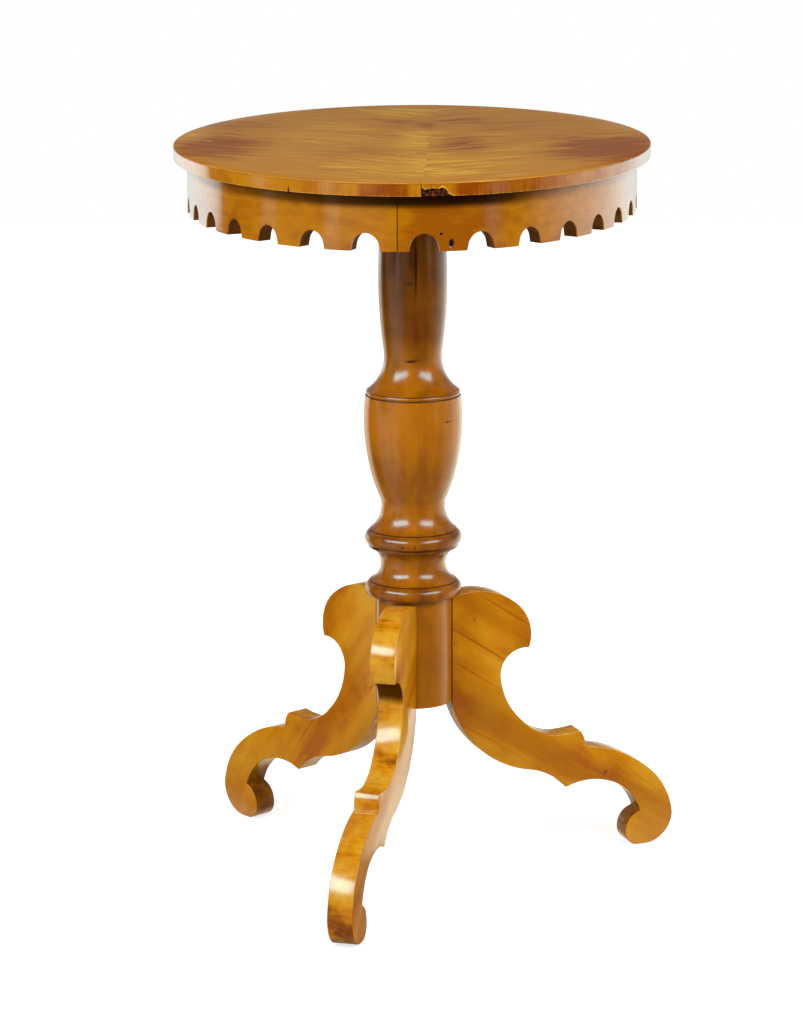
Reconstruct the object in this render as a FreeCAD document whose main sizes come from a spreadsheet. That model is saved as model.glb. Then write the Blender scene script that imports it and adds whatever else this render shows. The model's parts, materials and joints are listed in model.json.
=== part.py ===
import FreeCAD, Part
import math
import os
import Sketcher

# Oval side table: a veneered oval top with a deep frieze cut into small arches,
# carried by a turned column on three sawn scroll legs.
# The floor is z = 0 and the column stands on the origin. +Y lies midway between the
# two back legs, which is a few degrees off the front leg's line.

doc = FreeCAD.newDocument("OvalSideTable")

# Driving dimensions, in millimetres and degrees
SIZES = {
    # the oval top
    "top_height": 750.0,
    "top_half_length": 339.2,
    "top_half_width": 235.5,
    "top_thickness": 12.7,
    "top_veneer": 1.2,
    "top_band": 1.2,
    "top_seam_offset": 17.5,
    "top_long_axis_angle": -78.1,
    # the broken place in the lower edge of the rim
    "chip_width": 29.4,
    "chip_height": 7.9,
    "chip_depth": 3.6,
    # the frieze under the top
    "frieze_overhang": 13.2,
    "frieze_height": 52.0,
    "frieze_lower_height": 25.8,
    "frieze_wall": 15.0,
    "frieze_veneer": 1.2,
    "arch_width": 28.2,
    "arch_height": 16.8,
    "arch_splay": 1.1,
    "arch_foot": 4.7,
    # glue blocks in the corner of frieze and top
    "block_length_share": 0.0708,
    "block_leg": 20.0,
    "block_toe": 3.0,
    "block_inset": 1.4,
    # cross bearer that carries the top
    "bearer_end_gap": 13.2,
    "bearer_width_share": 0.165,
    "bearer_thickness": 22.0,
    "bearer_bevel_length": 46.0,
    "bearer_tip": 11.0,
    "screw_shank_radius": 2.1,
    "screw_head_radius": 4.4,
    "screw_head_height": 3.0,
    "screw_length": 29.0,
    "screw_slot_width": 0.9,
    "screw_slot_depth": 1.1,
    "screw_edge": 18.0,
    # turned column, from the floor up
    "hub_bottom": 177.1,
    "hub_height": 112.8,
    "hub_radius": 38.7,
    "bead_height": 14.3,
    "bead_top_radius": 43.7,
    "bead_low_radius": 47.1,
    "scotia_height": 34.8,
    "scotia_top_radius": 45.8,
    "fillet_height": 3.8,
    "foot_flare_height": 42.1,
    "vase_low_radius": 38.2,
    "vase_height": 95.5,
    "vase_top_radius": 48.1,
    "shoulder_bead": 4.7,
    "shoulder_radius": 47.1,
    "quirk": 0.7,
    "flare_height": 39.8,
    "neck_radius": 29.4,
    "shaft_straight": 24.9,
    "shaft_top_radius": 29.3,
    "tenon_radius": 14.0,
    "wedge_width": 22.0,
    "wedge_depth": 17.0,
    "wedge_top": 3.4,
    "wedge_toe": 0.8,
    # sawn legs and the sliding dovetails that hold them
    "leg_thickness": 25.6,
    "leg_reach": 247.2,
    "leg_top_gap": 1.0,
    "leg_front_angle": -91.1,
    "leg_left_angle": 147.3,
    "leg_right_angle": 32.7,
    "dovetail_depth": 13.0,
    "dovetail_neck": 12.0,
    "dovetail_tail": 16.0,
    "dovetail_stop": 12.0,
    # fits
    "glue_line": 0.1,
    "band_line": 0.3,
    "fit_clearance": 0.1,
    "overrun": 5.0,
}

# Counts
BOARDS = 4
ARCHES = 32
FRIEZE_BLOCKS = 8
VENEER_LEAVES = 4
GLUE_BLOCKS = 12

# The first arch stands this share of a pitch past the front end of the long axis
ARCH_PHASE_SHARE = 0.367
# Joints in the frieze's skin and lower course, and in the upper one, lie this share
# of a pitch past the first arch
LOWER_JOINT_SHARE = -0.454
UPPER_JOINT_SHARE = 1.5
# Screws along the bearer, as shares of its half length
SCREW_SHARES = (-0.74, -0.22, 0.22, 0.74)
# Broken edge of the chip: shares of its width and of its height
CHIP_SHARES = [(0.86, 0.36), (0.74, 0.88), (0.62, 1.00), (0.50, 0.90), (0.08, 0.84), (0.00, 0.92)]
# Bows of the arcs, each the arc's rise as a share of half its chord
ARCH_BOW_SHARE = 0.36
BEAD_BOW_SHARE = 0.51
SCOTIA_BOW_SHARE = -0.70
FOOT_FLARE_BOW_SHARE = -0.41
VASE_BOW_SHARE = 0.11
LIP_BOW_SHARE = 0.55
NECK_BOW_SHARE = -0.28
SHAFT_BOW_SHARE = 0.07

sheet = doc.addObject("Spreadsheet::Sheet", "Sizes")
for row, (name, number) in enumerate(SIZES.items(), start=1):
    sheet.set("A%d" % row, name)
    sheet.set("B%d" % row, str(number))
    sheet.setAlias("B%d" % row, name)
doc.recompute()

Z_AXIS = FreeCAD.Vector(0, 0, 1)


def size(name):
    """The number in the sheet's cell of that name."""
    return float(sheet.get(name))


def number_of(expression):
    """Value of an expression on the sheet."""
    return float(sheet.evalExpression(expression))


def bind(thing, **expressions):
    """Binds properties of a document object to expressions on the sheet."""
    for name, expression in expressions.items():
        thing.setExpression(name.replace("__", "."), expression)


# Levels and offsets that follow from the sizes
UNDER_TOP = "(Sizes.top_height - Sizes.top_thickness)"
UNDER_VENEER = "(Sizes.top_height - Sizes.top_veneer)"
FRIEZE_BOTTOM = "(%s - Sizes.frieze_height)" % UNDER_TOP
LOWER_HEIGHT = "Sizes.frieze_lower_height"
UPPER_HEIGHT = "(Sizes.frieze_height - %s)" % LOWER_HEIGHT
COURSE_JOINT = "(%s + %s)" % (FRIEZE_BOTTOM, LOWER_HEIGHT)
UNDER_BEARER = "(%s - Sizes.bearer_thickness)" % UNDER_TOP
HUB_TOP = "(Sizes.hub_bottom + Sizes.hub_height)"
LEG_HEIGHT = "(%s - Sizes.leg_top_gap)" % HUB_TOP
HUB_FLAT = "sqrt(Sizes.hub_radius ^ 2 - (Sizes.leg_thickness / 2) ^ 2)"
FRIEZE_INSET = "Sizes.frieze_overhang"
CORE_INSET = "(%s + Sizes.frieze_veneer + Sizes.glue_line)" % FRIEZE_INSET
INNER_INSET = "(%s + Sizes.frieze_wall)" % FRIEZE_INSET
BOARD_INSET = "(Sizes.top_band + Sizes.band_line)"
BEARER_HALF = "(Sizes.top_half_width - %s - Sizes.bearer_end_gap)" % INNER_INSET
INNER_REACH = "(Sizes.top_half_length + Sizes.top_half_width - 2 * %s)" % INNER_INSET
BEARER_WIDTH = "(Sizes.bearer_width_share * %s)" % INNER_REACH
BLOCK_LENGTH = "(Sizes.block_length_share * %s)" % INNER_REACH


# Sketches

def new_sketch(body, name, role, lift=None, turn=None):
    """A sketch on one of the body's own planes, lifted and turned in it."""
    sketch = body.newObject("Sketcher::SketchObject", name)
    plane = next(p for p in body.Origin.OriginFeatures if p.Role == role)
    sketch.AttachmentSupport = [(plane, "")]
    sketch.MapMode = "FlatFace"
    if turn is not None:
        sketch.AttachmentOffset = FreeCAD.Placement(FreeCAD.Vector(), FreeCAD.Rotation(Z_AXIS, turn))
    if lift is not None:
        sketch.setExpression("AttachmentOffset.Base.z", lift)
    return sketch


def pin(sketch, geometry, vertex, across, up):
    """Holds a vertex of the sketch at two expressions."""
    for kind, expression in (("DistanceX", across), ("DistanceY", up)):
        number = float(sketch.evalExpression(expression))
        index = sketch.addConstraint(Sketcher.Constraint(kind, -1, 1, geometry, vertex, number))
        sketch.setExpression("Constraints[%d]" % index, expression)


def outline(sketch, points):
    """Closed outline through points (across, up, bow): the two places are
    expressions, and bow is the arc's rise to the next point as a share of half
    the chord, positive to the right of the way, 0 for a straight line."""
    places = [(across, up) for across, up, bow in points]
    spots = [FreeCAD.Vector(*(float(sketch.evalExpression(e)) for e in place)) for place in places]
    firsts = []
    lasts = []
    for i, (across, up, bow) in enumerate(points):
        j = (i + 1) % len(points)
        start, end = spots[i], spots[j]
        if bow:
            next_across, next_up = places[j]
            mid_across = "(%s + %s) / 2 + %r * ((%s) - (%s)) / 2" % (across, next_across, bow, next_up, up)
            mid_up = "(%s + %s) / 2 - %r * ((%s) - (%s)) / 2" % (up, next_up, bow, next_across, across)
            middle = FreeCAD.Vector(*(float(sketch.evalExpression(e)) for e in (mid_across, mid_up)))
            edge = sketch.addGeometry(Part.Arc(start, middle, end))
            dot = sketch.addGeometry(Part.Point(middle), True)
            pin(sketch, dot, 1, mid_across, mid_up)
            sketch.addConstraint(Sketcher.Constraint("PointOnObject", dot, 1, edge))
        else:
            edge = sketch.addGeometry(Part.LineSegment(start, end))
        near_start = sketch.getPoint(edge, 1).distanceToPoint(start)
        near_end = sketch.getPoint(edge, 2).distanceToPoint(start)
        first, last = (1, 2) if near_start < near_end else (2, 1)
        firsts.append((edge, first))
        lasts.append((edge, last))
        pin(sketch, edge, first, across, up)
    for i, (edge, last) in enumerate(lasts):
        following, first = firsts[(i + 1) % len(firsts)]
        sketch.addConstraint(Sketcher.Constraint("Coincident", edge, last, following, first))


def pad(body, name, sketch, length, symmetric=False):
    feature = body.newObject("PartDesign::Pad", name)
    feature.Profile = sketch
    feature.Midplane = symmetric
    bind(feature, Length=length)
    return feature


def pocket(body, name, sketch, length, upward):
    """A pocket from the sketch's plane, upward or downward; it has to remove wood."""
    doc.recompute()
    before = body.Shape.Volume
    feature = body.newObject("PartDesign::Pocket", name)
    feature.Profile = sketch
    feature.Reversed = upward
    bind(feature, Length=length)
    doc.recompute()
    if not body.Shape.Volume < before:
        raise RuntimeError("%s removes nothing" % name)
    return feature


# Turned column

def column():
    """One turning from the hub up to the tenon, with three stopped dovetail
    sockets and the flats that the legs' shoulders bear on."""
    body = doc.addObject("PartDesign::Body", "column")
    bead_foot = HUB_TOP
    bead_lip = "(%s + Sizes.bead_height)" % bead_foot
    collar_fillet = "(%s + Sizes.scotia_height)" % bead_lip
    collar_foot = "(%s + Sizes.fillet_height)" % collar_fillet
    collar_lip = "(%s + Sizes.bead_height)" % collar_foot
    vase_foot = "(%s + Sizes.foot_flare_height)" % collar_lip
    shoulder = "(%s + Sizes.vase_height)" % vase_foot
    lip = "(%s + Sizes.shoulder_bead)" % shoulder
    neck = "(%s + Sizes.flare_height)" % lip
    shaft_top = "(%s - Sizes.shaft_straight)" % UNDER_BEARER
    hub = "Sizes.hub_radius"
    low = "Sizes.bead_low_radius"
    high = "Sizes.bead_top_radius"
    quirk = "Sizes.quirk"
    # radius, level and bow of each arc towards the next point
    points = [
        ("0", "Sizes.hub_bottom", 0),
        (hub, "Sizes.hub_bottom", 0),
        (hub, bead_foot, 0),
        (low, bead_foot, BEAD_BOW_SHARE),
        (high, "%s - %s" % (bead_lip, quirk), 0),
        ("%s - %s" % (high, quirk), bead_lip, 0),
        ("%s + %s" % (high, quirk), bead_lip, SCOTIA_BOW_SHARE),
        ("Sizes.scotia_top_radius", collar_fillet, 0),
        ("Sizes.scotia_top_radius", collar_foot, 0),
        (low, collar_foot, BEAD_BOW_SHARE),
        (high, "%s - %s" % (collar_lip, quirk), 0),
        ("%s - %s" % (high, quirk), collar_lip, 0),
        ("%s + %s" % (high, quirk), collar_lip, FOOT_FLARE_BOW_SHARE),
        ("Sizes.vase_low_radius", vase_foot, VASE_BOW_SHARE),
        ("Sizes.vase_top_radius", shoulder, 0),
        ("Sizes.shoulder_radius - %s" % quirk, shoulder, LIP_BOW_SHARE),
        ("Sizes.shoulder_radius - %s" % quirk, "%s - %s" % (lip, quirk), 0),
        ("Sizes.shoulder_radius", lip, NECK_BOW_SHARE),
        ("Sizes.neck_radius", neck, SHAFT_BOW_SHARE),
        ("Sizes.shaft_top_radius", shaft_top, 0),
        ("Sizes.shaft_top_radius", UNDER_BEARER, 0),
        ("Sizes.tenon_radius", UNDER_BEARER, 0),
        ("Sizes.tenon_radius", UNDER_TOP, 0),
        ("0", UNDER_TOP, 0),
    ]
    profile = new_sketch(body, "column_profile", "XZ_Plane")
    outline(profile, points)
    turning = body.newObject("PartDesign::Revolution", "column_turning")
    turning.Profile = profile
    turning.ReferenceAxis = (profile, ["V_Axis"])

    kerf = new_sketch(body, "wedge_kerf_sketch", "XZ_Plane")
    outline(kerf, wedge_points())
    slot = body.newObject("PartDesign::Pocket", "wedge_kerf")
    slot.Profile = kerf
    slot.Midplane = True
    bind(slot, Length="2 * Sizes.tenon_radius + Sizes.overrun")

    joint_top = "(%s * %r)" % (LEG_HEIGHT, LEG_OUTLINE_SHARES[0][1])
    for side, angle in LEGS.items():
        flat = new_sketch(body, "flat_%s_sketch" % side, "XY_Plane", "Sizes.hub_bottom", size(angle))
        half = "Sizes.leg_thickness / 2"
        reach = "(Sizes.hub_radius + Sizes.overrun)"
        outline(flat, rectangle(HUB_FLAT, reach, "-(%s)" % half, half))
        pocket(body, "flat_%s" % side, flat, "%s + Sizes.leg_top_gap - Sizes.hub_bottom" % joint_top, True)
        socket = new_sketch(body, "socket_%s_sketch" % side, "XY_Plane", "Sizes.hub_bottom", size(angle))
        outline(socket, dovetail_points("Sizes.fit_clearance"))
        depth = "%s - Sizes.hub_bottom - Sizes.dovetail_stop + Sizes.fit_clearance" % joint_top
        pocket(body, "socket_%s" % side, socket, depth, True)
    return body


def rectangle(left, right, low, high):
    return [(left, low, 0), (right, low, 0), (right, high, 0), (left, high, 0)]


def wedge_points():
    """The wedge seen from the side: wide at the top, down into the tenon."""
    toe = "(%s - Sizes.wedge_depth)" % UNDER_TOP
    return [
        ("-Sizes.wedge_top / 2", UNDER_TOP, 0),
        ("-Sizes.wedge_toe / 2", toe, 0),
        ("Sizes.wedge_toe / 2", toe, 0),
        ("Sizes.wedge_top / 2", UNDER_TOP, 0),
    ]


def dovetail_points(gap):
    """Plan of the dovetail, from past the hub's flat inwards, wider by the gap all round."""
    face = "(%s + Sizes.overrun)" % HUB_FLAT
    root = "(%s - Sizes.dovetail_depth - (%s))" % (HUB_FLAT, gap)
    neck = "(Sizes.dovetail_neck / 2 + (%s))" % gap
    tail = "(Sizes.dovetail_tail / 2 + (%s))" % gap
    return [
        (face, "-%s" % neck, 0),
        (face, neck, 0),
        (HUB_FLAT, neck, 0),
        (root, tail, 0),
        (root, "-%s" % tail, 0),
        (HUB_FLAT, "-%s" % neck, 0),
    ]


def tenon_wedge():
    body = doc.addObject("PartDesign::Body", "tenon_wedge")
    sketch = new_sketch(body, "tenon_wedge_sketch", "XZ_Plane")
    outline(sketch, wedge_points())
    pad(body, "tenon_wedge_pad", sketch, "Sizes.wedge_width", True)
    return body


# Sawn legs

LEGS = {"front": "leg_front_angle", "left": "leg_left_angle", "right": "leg_right_angle"}

# Leg outline as shares: across is a share of the reach from the hub's flat, up is a
# share of the leg's height, and the third number is the bow of the arc that follows
LEG_OUTLINE_SHARES = [
    (0.000, 0.981, -0.26),
    (0.276, 0.950, -0.34),
    (0.345, 0.776, 0.45),
    (0.219, 0.686, 0.20),
    (0.317, 0.508, 0.19),
    (0.473, 0.442, 0.06),
    (0.576, 0.451, -0.19),
    (0.600, 0.390, -0.18),
    (0.922, 0.259, -0.157),
    (1.000, 0.110, -0.41),
    (0.869, 0.000, 0),
    (0.832, 0.000, -0.35),
    (0.787, 0.053, -0.35),
    (0.852, 0.127, 0.195),
    (0.742, 0.240, 0.22),
    (0.513, 0.243, 0.187),
    (0.342, 0.324, -0.30),
    (0.000, 0.607, 0),
]


def leg(side, angle):
    """One sawn board: scroll foot, knop, hollow and lobe, with the dovetail key
    on its inner end."""
    body = doc.addObject("PartDesign::Body", "leg_%s" % side)
    sketch = new_sketch(body, "leg_%s_outline" % side, "XZ_Plane")
    points = []
    for across_share, up_share, bow_share in LEG_OUTLINE_SHARES:
        across = "(%s + %r * Sizes.leg_reach)" % (HUB_FLAT, across_share)
        points.append((across, "%s * %r" % (LEG_HEIGHT, up_share), bow_share))
    outline(sketch, points)
    pad(body, "leg_%s_board" % side, sketch, "Sizes.leg_thickness", True)
    key = new_sketch(body, "leg_%s_key_sketch" % side, "XY_Plane", "Sizes.hub_bottom")
    outline(key, dovetail_points("0"))
    joint_top = "(%s * %r)" % (LEG_HEIGHT, LEG_OUTLINE_SHARES[0][1])
    pad(body, "leg_%s_key" % side, key, "%s - Sizes.hub_bottom - Sizes.dovetail_stop" % joint_top)
    body.Placement = FreeCAD.Placement(FreeCAD.Vector(), FreeCAD.Rotation(Z_AXIS, size(angle)))
    return body


# Frieze and top: these pieces are made with the oval's long axis along X and
# turned together, front end to top_long_axis_angle

def turned(thing):
    """Turns a finished piece of the top about the column's axis."""
    turn = FreeCAD.Rotation(Z_AXIS, size("top_long_axis_angle"))
    thing.Placement = FreeCAD.Placement(FreeCAD.Vector(), turn)
    return thing


def oval(name, inset, foot, height):
    """An upright oval block, its edge the inset inside the top's edge."""
    curve = doc.addObject("Part::Ellipse", name + "_edge")
    bind(curve, MajorRadius="Sizes.top_half_length - %s" % inset)
    bind(curve, MinorRadius="Sizes.top_half_width - %s" % inset)
    bind(curve, Placement__Base__z=foot)
    block = doc.addObject("Part::Extrusion", name)
    block.Base = curve
    block.Dir = Z_AXIS
    block.DirMode = "Custom"
    block.Solid = True
    bind(block, LengthFwd=height)
    return block


def boolean(kind, name, base, tool):
    thing = doc.addObject("Part::" + kind, name)
    thing.Base = base
    thing.Tool = tool
    return thing


def gathered(name, things):
    group = doc.addObject("Part::Compound", name)
    group.Links = things
    return group


def cuboid(name, left, front, foot, length, width, height):
    """A box from its low corner and its sizes, all expressions."""
    box = doc.addObject("Part::Box", name)
    bind(box, Placement__Base__x=left, Placement__Base__y=front, Placement__Base__z=foot)
    bind(box, Length=length, Width=width, Height=height)
    return box


def rim_curve(inset):
    """Half axes of the oval at the inset."""
    return size("top_half_length") - inset, size("top_half_width") - inset


def rim_places(inset, pitches):
    """Parameters on the oval at distances along it from the front end of the
    long axis, in pitches of one arch."""
    long_half, short_half = rim_curve(inset)
    curve = Part.Ellipse(FreeCAD.Vector(), long_half, short_half)
    pitch = curve.length() / ARCHES
    return [curve.parameterAtDistance((p % ARCHES) * pitch, 0) for p in pitches]


def rim_placement(inset, parameter, level):
    """Placement with X along the oval's outward normal and Z up."""
    long_half, short_half = rim_curve(inset)
    spot = FreeCAD.Vector(long_half * math.cos(parameter), short_half * math.sin(parameter), level)
    normal = math.atan2(long_half * math.sin(parameter), short_half * math.cos(parameter))
    return FreeCAD.Placement(spot, FreeCAD.Rotation(Z_AXIS, math.degrees(normal)))


def polar_angle(inset, parameter):
    long_half, short_half = rim_curve(inset)
    return math.degrees(math.atan2(short_half * math.sin(parameter), long_half * math.cos(parameter)))


# Turns a sketch so that its across runs along Y and its up along Z
UPRIGHT = FreeCAD.Rotation(FreeCAD.Vector(0, 1, 0), Z_AXIS, FreeCAD.Vector(1, 0, 0), "ZXY")


def upright_cutter(name, points, inward):
    """A prism along X whose section stands in the YZ plane: it reaches inward by
    that expression and outward by the overrun."""
    sketch = doc.addObject("Sketcher::SketchObject", name + "_sketch")
    sketch.Placement.Rotation = UPRIGHT
    outline(sketch, points)
    prism = doc.addObject("Part::Extrusion", name)
    prism.Base = sketch
    prism.DirMode = "Custom"
    prism.Dir = FreeCAD.Vector(1, 0, 0)
    prism.Solid = True
    bind(prism, LengthFwd="Sizes.overrun", LengthRev=inward)
    doc.recompute()
    return prism


def copies(name, thing, placements):
    """One shape that holds a copy of the thing at each placement."""
    shapes = []
    for placement in placements:
        shape = thing.Shape.copy()
        shape.Placement = placement.multiply(shape.Placement)
        shapes.append(shape)
    group = doc.addObject("Part::Feature", name)
    group.Shape = Part.makeCompound(shapes)
    return group


def screw(name, across, along, gap):
    """A countersunk slotted wood screw driven up through the bearer; with a gap
    it is the hole that the screw fills."""
    head = doc.addObject("Part::Cone", name + "_head")
    bind(head, Radius1="Sizes.screw_head_radius + %s" % gap, Height="Sizes.screw_head_height")
    bind(head, Radius2="Sizes.screw_shank_radius + %s" % gap)
    shank = doc.addObject("Part::Cylinder", name + "_shank")
    bind(shank, Radius="Sizes.screw_shank_radius + %s" % gap, Height="Sizes.screw_length + %s" % gap)
    for thing in (head, shank):
        bind(thing, Placement__Base__x=across, Placement__Base__y=along, Placement__Base__z=UNDER_BEARER)
    return boolean("Fuse", name, head, shank)


def screw_places():
    places = []
    for share in SCREW_SHARES:
        for side in (-1, 1):
            across = "%d * (%s / 2 - Sizes.screw_edge)" % (side, BEARER_WIDTH)
            places.append((across, "%r * %s" % (share, BEARER_HALF)))
    return places


def bearer_and_screws():
    """The cross bearer with its tenon hole, and the screws that hold it to the top."""
    body = doc.addObject("PartDesign::Body", "bearer_blank")
    sketch = new_sketch(body, "bearer_side", "YZ_Plane")
    tip = "%s - Sizes.bearer_tip" % UNDER_TOP
    inner = "(%s - Sizes.bearer_bevel_length)" % BEARER_HALF
    outline(sketch, [
        ("-%s" % BEARER_HALF, UNDER_TOP, 0),
        ("-%s" % BEARER_HALF, tip, 0),
        ("-%s" % inner, UNDER_BEARER, 0),
        (inner, UNDER_BEARER, 0),
        (BEARER_HALF, tip, 0),
        (BEARER_HALF, UNDER_TOP, 0),
    ])
    pad(body, "bearer_board", sketch, BEARER_WIDTH, True)
    tenon_hole = doc.addObject("Part::Cylinder", "tenon_hole")
    bind(tenon_hole, Radius="Sizes.tenon_radius + Sizes.fit_clearance")
    bind(tenon_hole, Height="Sizes.bearer_thickness + 2 * Sizes.overrun")
    bind(tenon_hole, Placement__Base__z="%s - Sizes.overrun" % UNDER_BEARER)
    screws = []
    holes = [tenon_hole]
    for number, (across, along) in enumerate(screw_places(), start=1):
        blank = screw("screw_%d" % number, across, along, "0")
        slot = cuboid(
            "screw_slot_%d" % number,
            "%s - Sizes.screw_slot_width / 2" % across,
            "%s - Sizes.screw_head_radius - Sizes.overrun" % along,
            "%s - Sizes.overrun" % UNDER_BEARER,
            "Sizes.screw_slot_width",
            "2 * (Sizes.screw_head_radius + Sizes.overrun)",
            "Sizes.overrun + Sizes.screw_slot_depth",
        )
        screws.append(boolean("Cut", "slotted_screw_%d" % number, blank, slot))
        holes.append(screw("screw_hole_%d" % number, across, along, "Sizes.fit_clearance"))
    all_holes = gathered("bearer_holes", holes)
    bearer = boolean("Cut", "top_bearer", body, all_holes)
    return turned(bearer), turned(gathered("bearer_screws", screws)), all_holes


def chip_cutter():
    """The broken place in the rim's lower edge, beside the veneer's seam."""
    points = [
        ("0", "-Sizes.overrun", 0),
        ("Sizes.chip_width", "-Sizes.overrun", 0),
        ("Sizes.chip_width", "0", 0),
    ]
    for across, up in CHIP_SHARES:
        points.append(("%r * Sizes.chip_width" % across, "%r * Sizes.chip_height" % up, 0))
    cutter = upright_cutter("chip_cutter", points, "Sizes.chip_depth")
    parameter = math.asin(size("top_seam_offset") / size("top_half_width"))
    return copies("chip", cutter, [rim_placement(0, parameter, number_of(UNDER_TOP))])


def top(holes, chip):
    """Four jointed boards, two leaves of veneer and the band round the edge."""
    pieces = []
    ground_height = "Sizes.top_thickness - Sizes.top_veneer"
    ground = boolean("Cut", "ground", oval("ground_blank", BOARD_INSET, UNDER_TOP, ground_height), chip)
    half = "(Sizes.top_half_width - %s)" % BOARD_INSET
    joints = ["(%s * (%d / %d - 1))" % (half, 2 * k, BOARDS) for k in range(1, BOARDS)]
    joints = ["-(Sizes.top_half_width + Sizes.overrun)"] + joints + ["(Sizes.top_half_width + Sizes.overrun)"]
    for number in range(1, BOARDS + 1):
        low, high = joints[number - 1:number + 1]
        strip = cuboid(
            "board_strip_%d" % number,
            "-Sizes.top_half_length",
            low,
            UNDER_TOP,
            "2 * Sizes.top_half_length",
            "%s - %s" % (high, low),
            ground_height,
        )
        board = boolean("Common", "board_blank_%d" % number, ground, strip)
        pieces.append(boolean("Cut", "top_board_%d" % number, board, holes))
    band_blank = boolean(
        "Cut", "band_blank",
        oval("band_outer", "0", UNDER_TOP, ground_height),
        oval("band_inner", "Sizes.top_band", UNDER_TOP, ground_height),
    )
    band = boolean("Cut", "band", band_blank, chip)
    veneer = oval("veneer", "0", UNDER_VENEER, "Sizes.top_veneer")
    for name, start, width in (
        ("left", "-Sizes.top_half_width", "Sizes.top_half_width + Sizes.top_seam_offset"),
        ("right", "Sizes.top_seam_offset", "Sizes.top_half_width - Sizes.top_seam_offset"),
    ):
        side = cuboid(
            "side_%s" % name,
            "-Sizes.top_half_length",
            start,
            UNDER_TOP,
            "2 * Sizes.top_half_length",
            width,
            "Sizes.top_thickness",
        )
        pieces.append(boolean("Common", "top_veneer_%s" % name, veneer, side))
        pieces.append(boolean("Common", "top_edge_band_%s" % name, band, side))
    return [turned(piece) for piece in pieces]


def frieze():
    """Two staggered courses of curved blocks with a veneer skin, sawn through
    with a row of equal arches."""
    half = "Sizes.arch_width / 2"
    spring = "(%s - Sizes.arch_splay)" % half
    arch = upright_cutter("arch_cutter", [
        ("-%s" % half, "0", 0),
        ("-%s" % half, "-Sizes.overrun", 0),
        (half, "-Sizes.overrun", 0),
        (half, "0", 0),
        (spring, "Sizes.arch_foot", ARCH_BOW_SHARE),
        ("0", "Sizes.arch_height", ARCH_BOW_SHARE),
        ("-%s" % spring, "Sizes.arch_foot", 0),
    ], "Sizes.frieze_wall + Sizes.overrun")
    lower = ring("lower", CORE_INSET, INNER_INSET, FRIEZE_BOTTOM, LOWER_HEIGHT)
    upper = ring("upper", CORE_INSET, INNER_INSET, COURSE_JOINT, UPPER_HEIGHT)
    under_skin = "(%s + Sizes.frieze_veneer)" % FRIEZE_INSET
    skin = ring("skin", FRIEZE_INSET, under_skin, FRIEZE_BOTTOM, "Sizes.frieze_height")
    pieces = slices("frieze_lower_block", lower, FRIEZE_BLOCKS, LOWER_JOINT_SHARE, arch)
    pieces += slices("frieze_upper_block", upper, FRIEZE_BLOCKS, UPPER_JOINT_SHARE, None)
    pieces += slices("frieze_veneer", skin, VENEER_LEAVES, LOWER_JOINT_SHARE, arch)
    return [turned(piece) for piece in pieces]


def ring(name, outer_inset, inner_inset, foot, height):
    """An oval ring between two insets."""
    outer = oval("%s_outer" % name, outer_inset, foot, height)
    inner = oval("%s_inner" % name, inner_inset, foot, height)
    return boolean("Cut", "%s_ring" % name, outer, inner)


def slices(name, whole, count, joint_share, arch):
    """Cuts a ring of the frieze into equal lengths that start the share of a pitch
    past the first arch, and saws the arches into each where there are any."""
    inset = size("frieze_overhang")
    level = number_of(FRIEZE_BOTTOM)
    run = ARCHES // count
    starts = [k * run + joint_share + ARCH_PHASE_SHARE for k in range(count)]
    angles = [polar_angle(inset, p) for p in rim_places(inset, starts)]
    pieces = []
    for number, (start, angle) in enumerate(zip(starts, angles), start=1):
        following = angles[number % count]
        sector = doc.addObject("Part::Cylinder", "%s_sector_%d" % (name, number))
        bind(sector, Radius="2 * Sizes.top_half_length", Height="Sizes.top_height")
        sector.Angle = (following - angle) % 360
        sector.Placement.Rotation = FreeCAD.Rotation(Z_AXIS, angle)
        if arch is None:
            pieces.append(boolean("Common", "%s_%d" % (name, number), whole, sector))
            continue
        blank = boolean("Common", "%s_blank_%d" % (name, number), whole, sector)
        middles = rim_places(inset, [start - joint_share + k for k in range(run)])
        places = [rim_placement(inset, p, level) for p in middles]
        row = copies("%s_arches_%d" % (name, number), arch, places)
        pieces.append(boolean("Cut", "%s_%d" % (name, number), blank, row))
    return pieces


def glue_blocks():
    """Rubbed blocks in the corner between the frieze's inside and the top."""
    block = doc.addObject("Part::Wedge", "glue_block")
    half_block = "%s / 2" % BLOCK_LENGTH
    bind(block, Xmin="0", Xmax="Sizes.block_toe", X2min="0", X2max="Sizes.block_leg")
    bind(block, Ymin="-Sizes.block_leg", Ymax="0")
    bind(block, Zmin="-%s" % half_block, Zmax=half_block, Z2min="-%s" % half_block, Z2max=half_block)
    doc.recompute()
    inset = number_of("%s + Sizes.block_inset" % INNER_INSET)
    turn = FreeCAD.Rotation(FreeCAD.Vector(-1, 0, 0), Z_AXIS, FreeCAD.Vector(0, 1, 0), "XYZ")
    turn_in = FreeCAD.Placement(FreeCAD.Vector(), turn)
    step = ARCHES / GLUE_BLOCKS
    places = rim_places(inset, [(k + 0.5) * step for k in range(GLUE_BLOCKS)])
    level = number_of(UNDER_TOP)
    placements = [rim_placement(inset, p, level).multiply(turn_in) for p in places]
    return turned(copies("glue_blocks", block, placements))


bearer, bearer_screws, bearer_holes = bearer_and_screws()
parts = [column(), tenon_wedge(), bearer, bearer_screws]
for side, angle in LEGS.items():
    parts.append(leg(side, angle))
parts += top(bearer_holes, chip_cutter())
parts += frieze()
parts.append(glue_blocks())
doc.recompute()

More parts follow.
